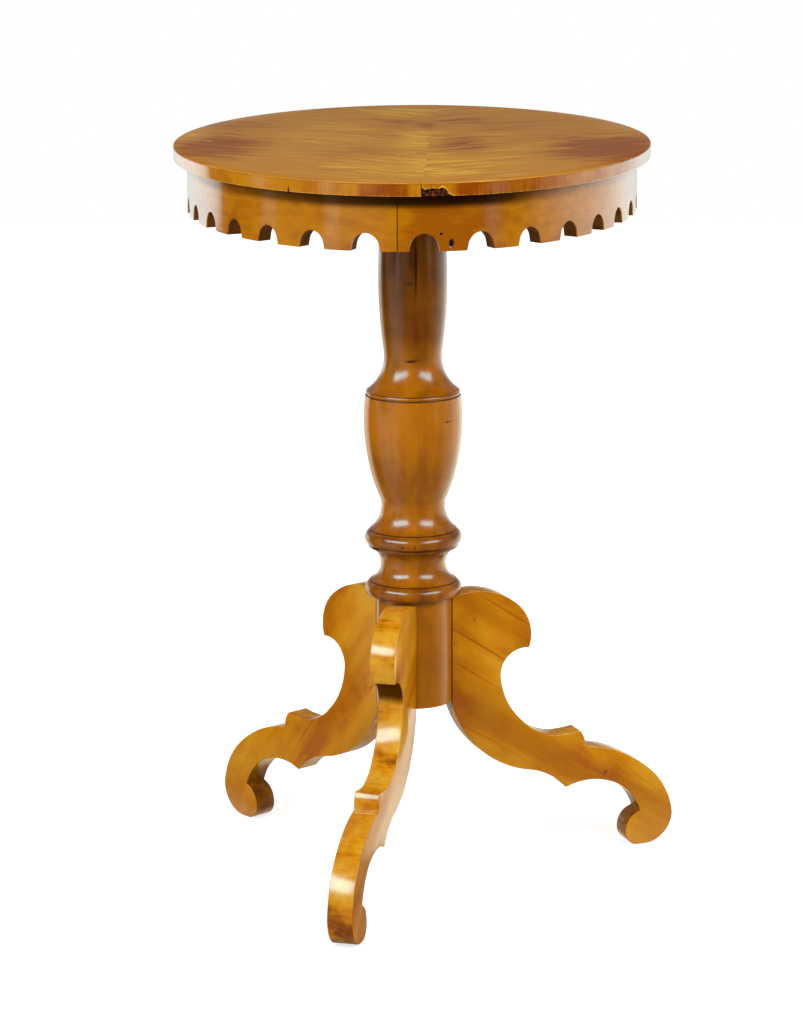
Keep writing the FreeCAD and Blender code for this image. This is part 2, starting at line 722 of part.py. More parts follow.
for thing in doc.Objects:
    if "Invalid" in thing.State or "Error" in thing.State:
        raise RuntimeError("%s failed: %s" % (thing.Label, thing.State))
os.makedirs("parts", exist_ok=True)
for thing in parts:
    if thing.Shape.isNull() or not thing.Shape.isValid() or not thing.Shape.Solids:
        raise RuntimeError("%s has no sound shape" % thing.Label)
    thing.Shape.exportStep("parts/%s.step" % thing.Label)
    print(thing.Label, len(thing.Shape.Solids), round(thing.Shape.Volume))
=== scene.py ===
"""Oval side table: the finished surfaces, woods and studio, as a Blender add-on."""
import json
import math

import bpy
import numpy as np
from bpy.props import FloatProperty, FloatVectorProperty, IntProperty, PointerProperty
from mathutils import Euler, Matrix, Vector


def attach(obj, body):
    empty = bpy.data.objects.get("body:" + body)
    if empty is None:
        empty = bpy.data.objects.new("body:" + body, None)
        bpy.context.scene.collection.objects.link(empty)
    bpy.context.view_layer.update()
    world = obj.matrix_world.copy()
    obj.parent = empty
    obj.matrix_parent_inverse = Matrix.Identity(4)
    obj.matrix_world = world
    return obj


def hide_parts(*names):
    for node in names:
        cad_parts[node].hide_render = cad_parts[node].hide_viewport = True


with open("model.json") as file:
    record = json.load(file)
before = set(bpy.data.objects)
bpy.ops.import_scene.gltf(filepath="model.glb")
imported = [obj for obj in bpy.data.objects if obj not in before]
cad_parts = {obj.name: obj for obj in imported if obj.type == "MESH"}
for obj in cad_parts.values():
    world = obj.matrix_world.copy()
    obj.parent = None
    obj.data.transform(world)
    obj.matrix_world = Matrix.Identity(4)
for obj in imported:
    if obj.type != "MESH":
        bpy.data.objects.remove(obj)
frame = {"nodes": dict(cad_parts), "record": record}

bl_info = {
    "name": "Oval Side Table",
    "version": (1, 0, 0),
    "blender": (4, 5, 0),
    "location": "3D View > Sidebar > Side Table",
    "description": "Builds the polished surfaces of an oval side table around its solid model",
    "category": "Object",
}

MM = 0.001
HALF_TURN, FULL_TURN = math.pi, 2 * math.pi
# How finely surfaces are sampled: gentle arcs every so many degrees, steep ones every so
# many millimetres, and ovals, roundings, the column's round and the rim by points
ARC_STEP = 2.0
PROFILE_STEP = 1.2
OUTLINE_STEP = 1.6
OVAL_POINTS = 16385
ROUNDING_POINTS = 5
COLUMN_POINTS = 180
RIM_POINTS = 241
BAND_POINTS = 501
FLOOR_POINTS = 96
LEAF_ROWS = 9
CHIP_POINTS = 110
# The most of an arc that the rounding of a corner takes up, as a share of its chord
MOST_TRIM = 0.45

# Turned column: radius, level and bow of the arc to the next point, in millimetres.
# A bow is the arc's rise as a share of half its chord, to the right of the way up. A
# fourth number is how far from the corner its rounding starts.
COLUMN_PROFILE = (
    (0.0, 177.1, 0), (38.7, 177.1, 0), (38.7, 289.9, 0),
    (47.1, 289.9, 0.51), (43.7, 303.5, 0), (43.0, 304.2, 0),
    (44.4, 304.2, -0.70), (45.8, 339.0, 0), (45.8, 342.8, 0),
    (47.1, 342.8, 0.51), (43.7, 356.4, 0), (43.0, 357.1, 0),
    (44.4, 357.1, -0.41), (38.2, 399.2, 0.11, 12.0), (48.1, 494.7, 0),
    (46.4, 494.7, 0.55), (46.4, 498.7, 0), (47.1, 499.4, -0.28),
    (29.4, 539.2, 0.07), (29.3, 690.4, 0), (29.3, 715.3, 0),
    (14.0, 715.3, 0), (14.0, 737.3, 0), (0.0, 737.3, 0),
)

# Leg outline: share of the reach, share of the height, and bow, as above
LEG_OUTLINE = (
    (0.000, 0.981, -0.26), (0.276, 0.950, -0.34), (0.345, 0.776, 0.45),
    (0.219, 0.686, 0.20), (0.317, 0.508, 0.19), (0.473, 0.442, 0.06),
    (0.576, 0.451, -0.19), (0.600, 0.390, -0.18), (0.922, 0.259, -0.157),
    (1.000, 0.110, -0.41), (0.869, 0.000, 0), (0.832, 0.000, -0.35),
    (0.787, 0.053, -0.35), (0.852, 0.127, 0.195), (0.742, 0.240, 0.22),
    (0.513, 0.243, 0.187), (0.342, 0.324, -0.30), (0.000, 0.607, 0),
)

# Grain of each leg's board: its fall from the level in degrees, and its dark streaks and
# knots as places along and across the grain, half length, half width and strength
LEG_GRAIN = {
    "front": (34, ((0.0823, 0.1840, 0.0012, 0.0014, 0.8),)),
    "left": (52, ((-0.040, 0.1900, 0.062, 0.0013, 0.50), (-0.055, 0.1965, 0.034, 0.0010, 0.35))),
    "right": (34, (
        (-0.0766, 0.2297, 0.040, 0.0012, 0.55), (-0.0636, 0.2737, 0.034, 0.0011, 0.45),
        (-0.0589, 0.2016, 0.030, 0.0009, 0.35), (0.1259, 0.1844, 0.0020, 0.0026, 0.75),
        (0.1180, 0.1815, 0.0070, 0.0012, 0.40), (-0.0937, 0.2490, 0.0014, 0.0020, 0.50),
    )),
}
# Painted shade in hollows of the legs' sawn edges, as shares of the reach and of the height: the farthest
# reach, the lowest and the highest level, and strength
LEG_HOLLOWS = ((0.315, 0.690, 0.860, 0.93), (0.865, 0.030, 0.200, 0.60))
# How softly they end: over this far on all sides, and this far past the farthest reach
HOLLOW_EASE = 0.006
HOLLOW_PAST = 0.002
# The levels between which the sawn edges turn scuffed towards the foot, and the distances
# from the hub between which the dark line at the joint ends
FOOT_SCUFF = (0.038, 0.052)
HUB_LINE = (0.0006, 0.0018)

# Rounding of the legs' outline where its arcs meet, in millimetres
LEG_EASE = 1.5
# The worn line where a leg meets the hub: its space from the leg, its width and the reach
# of the points set close round it as turns, how far it fades under the hub's top, and how
# far inside the hub's radius a point still counts as on the hub
JOINT_GAP = 0.0003
JOINT_TURN = 0.008
JOINT_NEAR = 0.03
JOINT_FADE = 0.004
HUB_SLACK = 0.0005

# Worn places, in metres: distance round from the front end of the long axis, level,
# half width, half height
FRIEZE_HOLES = ((0.0353, 0.7014, 0.0013, 0.0013), (0.0450, 0.6925, 0.0024, 0.0040))
HOLE_DEPTH = 0.0009
# Where a hole starts and where it is full, and how far points are close set round it, as
# shares of its half sizes
HOLE_EDGE = (1.15, 0.75)
HOLE_SPREAD = 1.6
# Bow of an arch's shoulders, and where the straight foot between two arches is marked,
# as a share of a pitch from the arch's middle
ARCH_BOW = -0.36
ARCH_SIDE = 0.40
FRIEZE_LEAVES = 4
FRIEZE_BLOCKS = 8
# Half the open line at a joint of the frieze, the glue line under its skin, and the
# rounding of the skin's sawn edge
FRIEZE_JOINT_HALF = 0.00012
GLUE_LINE = 0.0001
SKIN_EASE = 0.0003
# The frieze's darker length: from where to where round it, and the ease of its ends. The
# dark line at a joint: how far from the joint it is full, and where it ends
FRIEZE_DARK = (0.010, 0.105, 0.035)
FRIEZE_LINE = (0.0001, 0.0008)
# How far under the top the painted shade on the frieze starts and is full
RIM_SHADE_FALL = (0.0150, 0.0078)
# Strength of the painted shade on the frieze under the rim, by distance round from the front end
FRIEZE_RIM_SHADE = (
    (-0.300, 0.10), (-0.230, 0.30), (-0.150, 0.62), (-0.058, 0.86), (0.000, 0.93), (0.050, 0.96),
    (0.095, 0.90), (0.130, 0.50), (0.155, 0.22), (0.200, 0.05),
)
# The rim stands a hair inside the solid model's
RIM_HAIR = 0.00004
# The band's lower edge: its rounding, its end from the seam, and the lifts of the points
# over it, as far up as torn fibres reach
BAND_EASE = 0.0005
BAND_END = 0.0001
TORN_LIFTS = (0.0008, 0.0016, 0.0026)
# Its darker lengths: from where to where round the rim, ease of the ends, strength
BAND_DARK = ((-0.040, 0.006, 0.004, 1.0), (0.050, 0.135, 0.006, 1.0), (0.135, 0.40, 0.006, 0.35))
# The dark line under the veneer and the worn foot: how far from the band's edges they are
# full and where they end
BAND_LINE = (0.0004, 0.0012)
# A nick and a crack in the rim, given as the holes are
RIM_NICK = (-0.1120, 0.7372, 0.0011, 0.0034)
RIM_CRACK = (0.0175, 0.7440, 0.0004, 0.0056)
# Marks on the column: bearing from the camera's side in degrees, level, half width,
# half height, strength; round the column they are measured at this radius
MARK_RADIUS = 0.040
COLUMN_MARKS = (
    (5.0, 0.626, 0.0014, 0.030, 0.75), (1.0, 0.640, 0.0060, 0.022, 0.40),
    (-5.0, 0.612, 0.0050, 0.0018, 0.40), (-4.0, 0.5325, 0.0074, 0.0014, 0.85),
    (9.0, 0.534, 0.0060, 0.0012, 0.35), (46.0, 0.4729, 0.0062, 0.0007, 0.6),
    (44.0, 0.4727, 0.0016, 0.0015, 0.6), (-12.7, 0.3465, 0.0011, 0.0013, 0.7),
    (-6.0, 0.3463, 0.0008, 0.0009, 0.6), (2.0, 0.3465, 0.0010, 0.0012, 0.7),
)
# Levels of the dark lines in the column's turned grooves, half their width, and how far
# they fade
COLUMN_GROOVES = (0.2898, 0.3038, 0.3418, 0.3567, 0.4944, 0.4989)
GROOVE_HALF = 0.0005
GROOVE_EASE = 0.0003
# Tone of the column by level: 0 dark, 1 pale; besides the wood's own tone it holds painted shade, darker on
# the shaft under the top and in bands under both beads
COLUMN_TONE_AND_SHADE = (
    (0.177, 0.78), (0.285, 0.70), (0.290, 0.45), (0.3035, 0.38), (0.306, 0.60), (0.331, 0.55),
    (0.337, 0.15), (0.342, 0.15), (0.344, 0.42), (0.3565, 0.36), (0.359, 0.62), (0.375, 0.76),
    (0.416, 0.55), (0.440, 0.80), (0.467, 1.00), (0.494, 1.00), (0.497, 0.70), (0.502, 0.85),
    (0.522, 0.90), (0.538, 0.50), (0.557, 0.22), (0.608, 0.25), (0.740, 0.22),
)
# Strength of its fine turning rings by level
COLUMN_RINGS = (
    (0.177, 0.08), (0.289, 0.10), (0.291, 0.40), (0.359, 0.40), (0.390, 0.10), (0.490, 0.10),
    (0.498, 0.45), (0.512, 0.35), (0.530, 0.10), (0.740, 0.10),
)

# Relief of the woods' grain and of the waves in their polish
GRAIN_RELIEF = 0.0002
WAVE_RELIEF = 0.0004

# Patches of the top's figure, in metres: across from the long axis, along it towards
# the front, half width, half length, and tone, below 0 dark and above it golden
TOP_PATCHES = (
    (-0.188, 0.055, 0.046, 0.095, -1.05), (0.194, 0.070, 0.052, 0.115, -1.15),
    (-0.170, -0.125, 0.050, 0.060, -0.55), (0.050, -0.195, 0.028, 0.060, -0.45),
    (-0.015, -0.140, 0.032, 0.050, -0.50), (0.010, -0.130, 0.009, 0.026, -0.55),
    (0.050, 0.045, 0.020, 0.060, -0.70), (-0.046, 0.115, 0.038, 0.036, -0.45),
    (0.120, -0.130, 0.050, 0.070, -0.25), (-0.222, -0.045, 0.014, 0.045, 0.60),
    (-0.110, -0.060, 0.062, 0.100, 0.35), (-0.015, 0.200, 0.060, 0.100, 0.50),
    (0.065, 0.205, 0.050, 0.085, 0.35), (0.002, -0.020, 0.018, 0.110, 0.55),
    (-0.020, -0.265, 0.045, 0.040, 0.55), (-0.140, 0.120, 0.060, 0.050, 0.20),
)
# Slope of the figure's streaks, which rise from the seam on both sides
FIGURE_SLOPE = 0.45
# Contrast of the figure: the distances from the seam between which it falls, and its
# strength at both
FIGURE_FALL = (0.03, 0.16, 0.9, 0.5)

# Broken lower edge of the band: share of the chip's width, and of its height
CHIP_EDGE = (
    (0.00, 0.92), (0.08, 0.84), (0.50, 0.90), (0.62, 1.00), (0.74, 0.88), (0.86, 0.36), (1.00, 0.0),
)
# Waves of the chip's torn edge: share of its height, waves over its width in radians, phase
CHIP_WAVES = ((0.055, 17.0, 2.0), (0.040, 41.0, 0.6), (0.035, 89.0, 4.0), (0.020, 173.0, 1.0))
# How torn the wood is along the chip: its least, beside the seam; the shares of the
# chip's width between which it rises to 1; and those between which, seen back from past
# the far end, it rises from 0
TORN_LEAST = 0.52
TORN_RISE = (0.50, 0.66)
TORN_END = (1.12, 0.98)

# The white room in the polish: bearing from the camera's side in degrees, positive to
# the right, and brightness
MIRRORED = (
    (-180, 0.68), (-167, 1.15), (-159, 1.60), (-152.5, 2.00), (-147, 2.35), (-140, 2.85),
    (-132, 2.70), (-128, 0.04), (-101, 0.04), (-98, 0.90), (-91, 0.90), (-88, 0.10), (-58, 0.10),
    (-55, 1.50), (-49, 1.50), (-46, 0.50), (-18, 0.40), (-9, 0.02), (51, 0.02), (55, 0.95),
    (60, 0.95), (65, 0.05), (77, 0.05), (90, 0.85), (107, 1.80), (117, 1.85), (125, 2.05),
    (134, 2.10), (144.5, 2.20), (155, 1.85), (166, 1.15), (180, 0.68),
)
# A brightness over all those in the tables, and the tints of the room and of the gleams
MIRROR_TOP = 3.0
MIRROR_TINT = (0.80, 0.97, 1.0)
GLEAM_TINT = (0.46, 0.88, 1.0)
# The floor near the table, which the column and the legs mirror: the same by bearing
MIRRORED_NEAR = (
    (-180, 0.75), (-164, 1.05), (-150, 1.50), (-140, 1.90), (-130, 1.70), (-126, 0.02), (-97, 0.02),
    (-80, 1.10), (-44, 1.10), (-26, 0.02), (58, 0.02), (74, 0.35), (84, 0.65), (100, 1.50),
    (114, 1.90), (134, 2.20), (150, 2.40), (165, 1.05), (180, 0.75),
)
NEAR_TINT = (1.0, 0.97, 0.79)
# How far the near floor reaches; the share of its brightness that is left under the table, as a painted
# shadow of the table in the mirrored floor, the least there, and the distances between which the rest comes
# back
NEAR_FLOOR = 4.3
UNDER_SHARE = 0.55
UNDER_LEAST = 0.22
UNDER_REACH = (0.35, 0.8)
# The room darkens overhead: the upward parts of a direction between which it does so, and
# the share of its brightness at both
OVERHEAD = (-0.02, 0.2, 1.0, 0.15)
# The floor as the camera sees it: a near and a far distance, and its glow at both
FLOOR_GLOW = (0.35, 0.75, 0.74, 1.0)
# Rings of the floor's disc inside its edge
FLOOR_RINGS = (0.0001, 0.5, 1.5)

# Lamps: bearing from the camera's side in degrees, height angle, distance, width,
# height and brightness; only the gleams are seen in the polish, and they light nothing else
SOFTBOXES = (
    ("key_left", -45, 31, 2.2, 1.15, 0.90, 7.9),
    ("key_right", 48, 31, 2.2, 1.15, 0.90, 7.5),
    ("fill_left", -80, 0, 2.2, 1.30, 1.20, 0.8),
    ("fill_right", 80, 0, 2.2, 1.30, 1.20, 0.8),
    ("fill_back", 180, 5, 2.2, 1.60, 1.20, 3.0),
    ("gleam_left", -46, 31, 2.2, 1.95, 0.74, 15.0),
    ("gleam_right", 49, 31, 2.2, 1.65, 0.70, 12.5),
)


def length(name, default, description):
    return FloatProperty(name=name, description=description, default=default, min=0.0,
                         subtype="DISTANCE", unit="LENGTH", precision=5)


def turn(name, degrees, description):
    return FloatProperty(name=name, description=description, default=math.radians(degrees),
                         subtype="ANGLE", unit="ROTATION")


def tint(name, default, description):
    return FloatVectorProperty(name=name, description=description, default=default, size=3,
                               min=0.0, max=1.0, subtype="COLOR")


class TopSizes(bpy.types.PropertyGroup):
    """Sizes of the oval top and of the frieze under it"""
    half_length: length("Half length", 0.3392, "Half of the oval's long axis")
    half_width: length("Half width", 0.2355, "Half of the oval's short axis")
    level: length("Height", 0.7500, "Level of the table top")
    thickness: length("Thickness", 0.0127, "Thickness of the top with its veneer")
    veneer: length("Veneer", 0.0012, "Thickness of the top's veneer")
    band: length("Edge band", 0.0012, "Thickness of the band round the rim")
    long_axis: turn("Long axis", -78.1, "Direction of the front end of the long axis")
    seam: length("Seam offset", 0.0175, "Distance of the veneer's seam from the long axis")
    arris: length("Arris", 0.0009, "Rounding of the rim's upper arris")
    chip_width: length("Chip width", 0.0294, "Width of the broken place in the rim")
    chip_height: length("Chip height", 0.0079, "Height of the broken place in the rim")
    overhang: length("Overhang", 0.0132, "How far the top stands out past the frieze")
    frieze: length("Frieze height", 0.0520, "Height of the frieze")
    course: length("Lower course", 0.0258, "Height of the frieze's lower course of blocks")
    wall: length("Frieze wall", 0.0150, "Thickness of the frieze")
    skin: length("Frieze veneer", 0.0012, "Thickness of the frieze's veneer")
    arches: IntProperty(name="Arches", description="Arches round the frieze", default=32, min=4)
    phase: FloatProperty(name="First arch", description="Pitches from the long axis to the first arch",
                         default=0.367, subtype="FACTOR")
    joint: FloatProperty(name="Frieze joint", description="Pitches from an arch back to the joint before it",
                         default=0.454, subtype="FACTOR")
    arch_width: length("Arch width", 0.0282, "Width of an arch at its foot")
    arch_height: length("Arch height", 0.0168, "Height of an arch")
    arch_splay: length("Arch splay", 0.0011, "How far an arch's foot spreads on each side")
    arch_foot: length("Arch foot", 0.0047, "Height of the straight foot of an arch")


class StandSizes(bpy.types.PropertyGroup):
    """Sizes of the turned column and of the sawn legs"""
    hub: length("Hub radius", 0.0387, "Radius of the hub that holds the legs")
    hub_top: length("Hub top", 0.2899, "Level of the hub's upper end")
    leg_gap: length("Leg gap", 0.0010, "Space over the legs under the lowest bead")
    leg_thickness: length("Leg thickness", 0.0256, "Thickness of a leg")
    leg_reach: length("Leg reach", 0.2472, "Reach of a leg from the hub")
    arris: length("Leg arris", 0.0009, "Rounding of the legs' edges")
    front: turn("Front leg", -91.1, "Direction of the front leg")
    left: turn("Left leg", 147.3, "Direction of the left leg")
    right: turn("Right leg", 32.7, "Direction of the right leg")
    turning_arris: length("Turned arris", 0.0004, "Rounding of the column's turned edges")
    groove: length("Joint groove", 0.0006, "Depth of the worn line where a leg meets the hub")


class WoodColours(bpy.types.PropertyGroup):
    """Colours of the polished and of the raw woods"""
    top_streak: tint("Top, streaks", (0.90, 0.54, 0.060), "Yellow streaks of the top's figure")
    top_pale: tint("Top, golden", (0.75, 0.39, 0.028), "Golden zones of the top")
    top_mid: tint("Top, middle", (0.575, 0.235, 0.020), "Ground of the top")
    top_dark: tint("Top, dark", (0.33, 0.085, 0.008), "Dark streaks and ends of the top")
    band_pale: tint("Band, pale", (0.56, 0.215, 0.004), "Pale zones of the rim")
    band_dark: tint("Band, dark", (0.30, 0.058, 0.001), "Dark zones of the rim")
    fresh: tint("Fresh wood", (0.86, 0.46, 0.045), "Torn fibres at the chip")
    frieze_pale: tint("Frieze, pale", (0.53, 0.195, 0.001), "Pale zones of the frieze")
    frieze_dark: tint("Frieze, dark", (0.36, 0.098, 0.001), "Dark zones of the frieze")
    column_pale: tint("Column, pale", (0.53, 0.170, 0.001), "Pale wood of the column")
    column_dark: tint("Column, dark", (0.185, 0.045, 0.0003), "Dark wood of the column")
    leg_pale: tint("Leg, pale", (0.80, 0.365, 0.012), "Pale grain of the legs")
    leg_mid: tint("Leg, middle", (0.69, 0.252, 0.001), "Ground of the legs")
    leg_dark: tint("Leg, dark", (0.50, 0.136, 0.001), "Dark grain of the legs")
    leg_edge: tint("Leg, sawn edge", (0.80, 0.42, 0.030), "Pale wood of the legs' sawn edges")
    # A darkened copy of the scuff colour is also painted shade in the legs' hollows
    leg_scuff_and_shade: tint("Leg, scuffed", (0.26, 0.050, 0.0005), "Dark scuffs of the legs' sawn edges and feet")
    # The dark marks' colour is also used for painted shade under the rim and in the chip's hollow
    stain_and_shade: tint("Dark marks", (0.020, 0.006, 0.001), "Old marks, cracks and holes")
    reveal: tint("Reveal", (0.22, 0.075, 0.012), "Stained wood inside the arches")
    pine: tint("Pine", (0.34, 0.19, 0.080), "Raw wood under the top")
    iron: tint("Iron", (0.16, 0.14, 0.13), "Old screws")


class StudioSettings(bpy.types.PropertyGroup):
    """Camera and light of the studio"""
    eye: FloatVectorProperty(name="Camera", description="Place of the camera", size=3, subtype="TRANSLATION",
                             unit="LENGTH", default=(0.83823, -3.48872, 1.15550))
    heading: turn("Heading", 13.7, "Turn of the camera about the upright")
    pitch: turn("Pitch", -12.30, "Tilt of the camera from the level")
    roll: turn("Roll", -0.17, "Turn of the camera about its own axis")
    lens: FloatProperty(name="Lens", description="Focal length in millimetres on a 36 mm frame",
                        default=127.51, min=1.0, subtype="DISTANCE_CAMERA")
    ambient: FloatProperty(name="Ambient", description="Soft light from all round", default=0.30, min=0.0)
    floor_radius: length("Floor radius", 5.0, "Radius of the pale floor")


def wrapped(angle):
    """An angle brought within half a turn either way."""
    return (angle + HALF_TURN) % FULL_TURN - HALF_TURN


# Surfaces

def turned(x, y, level, angle):
    """Places turned about the upright axis."""
    x, y, level = np.broadcast_arrays(x, y, level)
    cosine, sine = math.cos(angle), math.sin(angle)
    return np.stack([x * cosine - y * sine, x * sine + y * cosine, level], axis=-1)


def arc_points(start, end, bow, share):
    """Points at shares of the way along a circle's arc from start to end: the circle
    through both ends whose rise is the bow times half the chord; with no bow, the
    straight line between them."""
    start, end = np.asarray(start, float), np.asarray(end, float)
    share = np.asarray(share, float)[:, None]
    if bow == 0:
        return start + (end - start) * share
    half = (end - start) / 2
    side = np.array([half[1], -half[0]])
    centre = (start + end) / 2 - side * (1 - bow * bow) / (2 * bow)
    sweep = 4 * math.atan(bow)
    cosine, sine = np.cos(sweep * share), np.sin(sweep * share)
    spoke = start - centre
    return centre + spoke * cosine + np.array([-spoke[1], spoke[0]]) * sine


def eased_line(points, ease, step, closed):
    """A line through points (across, up, bow): arcs between them, sampled about every
    step or every few degrees, and each corner replaced by the parabola that leaves one
    arc and joins the next at the ease's distance: (1-t)(1-t) A + 2 t (1-t) C + t t B."""
    runs = len(points) if closed else len(points) - 1
    pieces = []
    for i in range(runs):
        after = points[(i + 1) % len(points)]
        start, end = np.array(points[i][:2]), np.array(after[:2])
        chord = float(np.linalg.norm(end - start))
        trims = [point[3] if len(point) > 3 else ease for point in (points[i], after)]
        trims = [min(trim / chord, MOST_TRIM) for trim in trims]
        first = 0.0 if i == 0 and not closed else trims[0]
        last = 1.0 if i == runs - 1 and not closed else 1 - trims[1]
        sweep = math.degrees(4 * math.atan(abs(points[i][2])))
        count = max(min(int(chord / step), math.ceil(sweep / ARC_STEP)), 2)
        pieces.append(arc_points(start, end, points[i][2], np.linspace(first, last, count + 1)))
    line = []
    blend = np.linspace(0, 1, 9)[1:-1, None]
    for i, piece in enumerate(pieces):
        line.append(piece)
        if i == runs - 1 and not closed:
            break
        corner = np.array(points[(i + 1) % len(points)][:2])
        leave, join = piece[-1], pieces[(i + 1) % runs][0]
        line.append((1 - blend) ** 2 * leave + 2 * blend * (1 - blend) * corner + blend ** 2 * join)
    return np.concatenate(line)


def sheet_faces(rows, columns, close_rows=False, close_columns=False):
    """The four corners of every face of a grid of points that is numbered row by row."""
    row = np.arange(rows if close_rows else rows - 1)[:, None]
    column = np.arange(columns if close_columns else columns - 1)[None, :]
    over, along = (row + 1) % rows, (column + 1) % columns
    corners = (row * columns + column, row * columns + along, over * columns + along, over * columns + column)
    return np.stack(corners, axis=-1).reshape(-1, 4)


def new_mesh(name, points, faces, caps=(), flat_angle=35.0, places=None, extra=None):
    """A mesh of the points (rows, columns, 3) with quads and closing caps. places holds
    each point's two distances along the surface, extra further numbers by name."""
    mesh = bpy.data.meshes.new(name)
    points = np.asarray(points, float).reshape(-1, 3)
    mesh.from_pydata(points.tolist(), [], np.asarray(faces).tolist() + [list(map(int, cap)) for cap in caps])
    mesh.validate()
    mesh.shade_smooth()
    mesh.set_sharp_from_angle(angle=math.radians(flat_angle))
    if places is not None:
        layer = mesh.uv_layers.new(name="surface")
        corner = np.empty(len(mesh.loops), int)
        mesh.loops.foreach_get("vertex_index", corner)
        layer.uv.foreach_set("vector", np.asarray(places, float).reshape(-1, 2)[corner].ravel())
    for label, numbers in (extra or {}).items():
        layer = mesh.attributes.new(label, "FLOAT", "POINT")
        layer.data.foreach_set("value", np.asarray(numbers, float).ravel())
    return mesh


def new_piece(name, mesh, material, stands_for):
    """Puts a finished mesh in the scene in place of a node of the solid model."""
    piece = bpy.data.objects.new(name, mesh)
    bpy.context.scene.collection.objects.link(piece)
    mesh.materials.append(material)
    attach(piece, "root")
    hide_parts(stands_for)


def outward(mesh):
    """Turns the faces of a closed mesh outwards, by the sign of its volume."""
    corner = np.empty(len(mesh.loops), int)
    mesh.loops.foreach_get("vertex_index", corner)
    spots = np.empty(len(mesh.vertices) * 3)
    mesh.vertices.foreach_get("co", spots)
    spots = spots.reshape(-1, 3)
    mesh.calc_loop_triangles()
    triangle = np.empty(len(mesh.loop_triangles) * 3, int)
    mesh.loop_triangles.foreach_get("vertices", triangle)
    a, b, c = spots[triangle.reshape(-1, 3)].transpose(1, 0, 2)
    if np.einsum("ij,ij->i", a, np.cross(b, c)).sum() < 0:
        mesh.flip_normals()
    return mesh


class Oval:
    """An oval standing upright, its front end turned to the top's long axis; the outermost
    one stands a hair inside the solid model's."""

    def __init__(self, top, inset):
        inset = max(inset, RIM_HAIR)
        self.long, self.short = top.half_length - inset, top.half_width - inset
        self.turn = top.long_axis
        angle = np.linspace(-math.pi, 3 * math.pi, OVAL_POINTS)
        across, along = self.long * np.cos(angle), self.short * np.sin(angle)
        way = np.concatenate([[0], np.cumsum(np.hypot(np.diff(across), np.diff(along)))])
        self.way, self.angle = way - np.interp(0, angle, way), angle
        self.round = way[-1] / 2

    def parameter(self, distance):
        """The oval's angle at a distance round it from the front end."""
        half = self.round / 2
        return np.interp((np.asarray(distance) + half) % self.round - half, self.way, self.angle)

    def distance(self, angle):
        """The distance round the oval from the front end to its angle."""
        return float(np.interp(angle, self.angle, self.way))

    def spots(self, angle, depth, level):
        """Places on the oval at its angle, moved in by the depth along the normal so that
        they lie on the oval whose two halves are less by the depth, at the level."""
        x, y = self.long * np.cos(angle), self.short * np.sin(angle)
        nx, ny = self.short * np.cos(angle), self.long * np.sin(angle)
        size = np.hypot(nx, ny)
        nx, ny = nx / size, ny / size
        inward = depth * (np.cos(angle) * nx + np.sin(angle) * ny)
        return self.place(x - inward * nx, y - inward * ny, level)

    def place(self, x, y, level):
        """Turns places from the oval's own axes to the table's."""
        return turned(x, y, level, self.turn)


def ringed_piece(name, points, flat_angle, material, stands_for, places=None):
    """A closed piece of rings that lie over one another, the first and last filled."""
    rows, columns = points.shape[:2]
    ring = np.arange(columns)
    caps = (ring[::-1], ring + (rows - 1) * columns)
    mesh = new_mesh(name, points, sheet_faces(rows, columns, close_columns=True), caps, flat_angle, places)
    new_piece(name, outward(mesh), material, stands_for)


def carried_piece(name, points, material, stands_for, places=None, extra=None):
    """A closed piece whose section runs down the rows and is carried along the columns,
    the section filled at both ends."""
    rows, columns = points.shape[:2]
    section = np.arange(rows) * columns
    caps = (section, section[::-1] + columns - 1)
    mesh = new_mesh(name, points, sheet_faces(rows, columns, close_rows=True), caps, 30.0, places, extra)
    new_piece(name, outward(mesh), material, stands_for)


def smooth(low, high, value):
    """Smooth step from 0 at low to 1 at high."""
    share = np.clip((value - low) / (high - low), 0, 1)
    return share * share * (3 - 2 * share)


# Materials

def shader(tree, kind, **settings):
    """A shader node with its plain settings."""
    node = tree.nodes.new("ShaderNode" + kind)
    for key, value in settings.items():
        setattr(node, key, value)
    return node


def feed(tree, node, **inputs):
    """Sets a node's sockets: a number or colour is written, a socket is linked.
    Names stand for sockets with blanks as underscores, or s0, s1 by number."""
    for key, value in inputs.items():
        numbered = key[0] == "s" and key[1:].isdigit()
        socket = node.inputs[int(key[1:]) if numbered else key.replace("_", " ")]
        if isinstance(value, bpy.types.NodeSocket):
            tree.links.new(value, socket)
        else:
            socket.default_value = value
    return node


def maths(tree, operation, first, second=0.0, third=0.0, clamp=False):
    node = shader(tree, "Math", operation=operation, use_clamp=clamp)
    return feed(tree, node, s0=first, s1=second, s2=third).outputs[0]


def times(tree, first, second):
    return maths(tree, "MULTIPLY", first, second)


def plus(tree, first, second):
    return maths(tree, "ADD", first, second)


def minus(tree, first, second):
    return maths(tree, "SUBTRACT", first, second)


def times_plus(tree, first, second, third):
    """The first times the second, and the third added."""
    return maths(tree, "MULTIPLY_ADD", first, second, third)


def weighed(tree, *terms):
    """The sum of terms, each a value and its weight."""
    (value, weight), *rest = terms
    return times_plus(tree, value, weight, weighed(tree, *rest)) if rest else times(tree, value, weight)


def between(tree, share, first, second):
    """The first number at share 0, the second at 1."""
    return times_plus(tree, minus(tree, second, first), share, first)


def axes_of(tree, vector):
    """The three numbers of a place or direction."""
    return tuple(feed(tree, shader(tree, "SeparateXYZ"), Vector=vector).outputs)


def span(tree, vector):
    """How far a place lies from the origin."""
    return feed(tree, shader(tree, "VectorMath", operation="LENGTH"), s0=vector).outputs["Value"]


def object_place(tree):
    return shader(tree, "TexCoord").outputs["Object"]


def surface_place(tree):
    """The two distances along the surface that a piece's mesh holds."""
    return shader(tree, "UVMap", uv_map="surface").outputs[0]


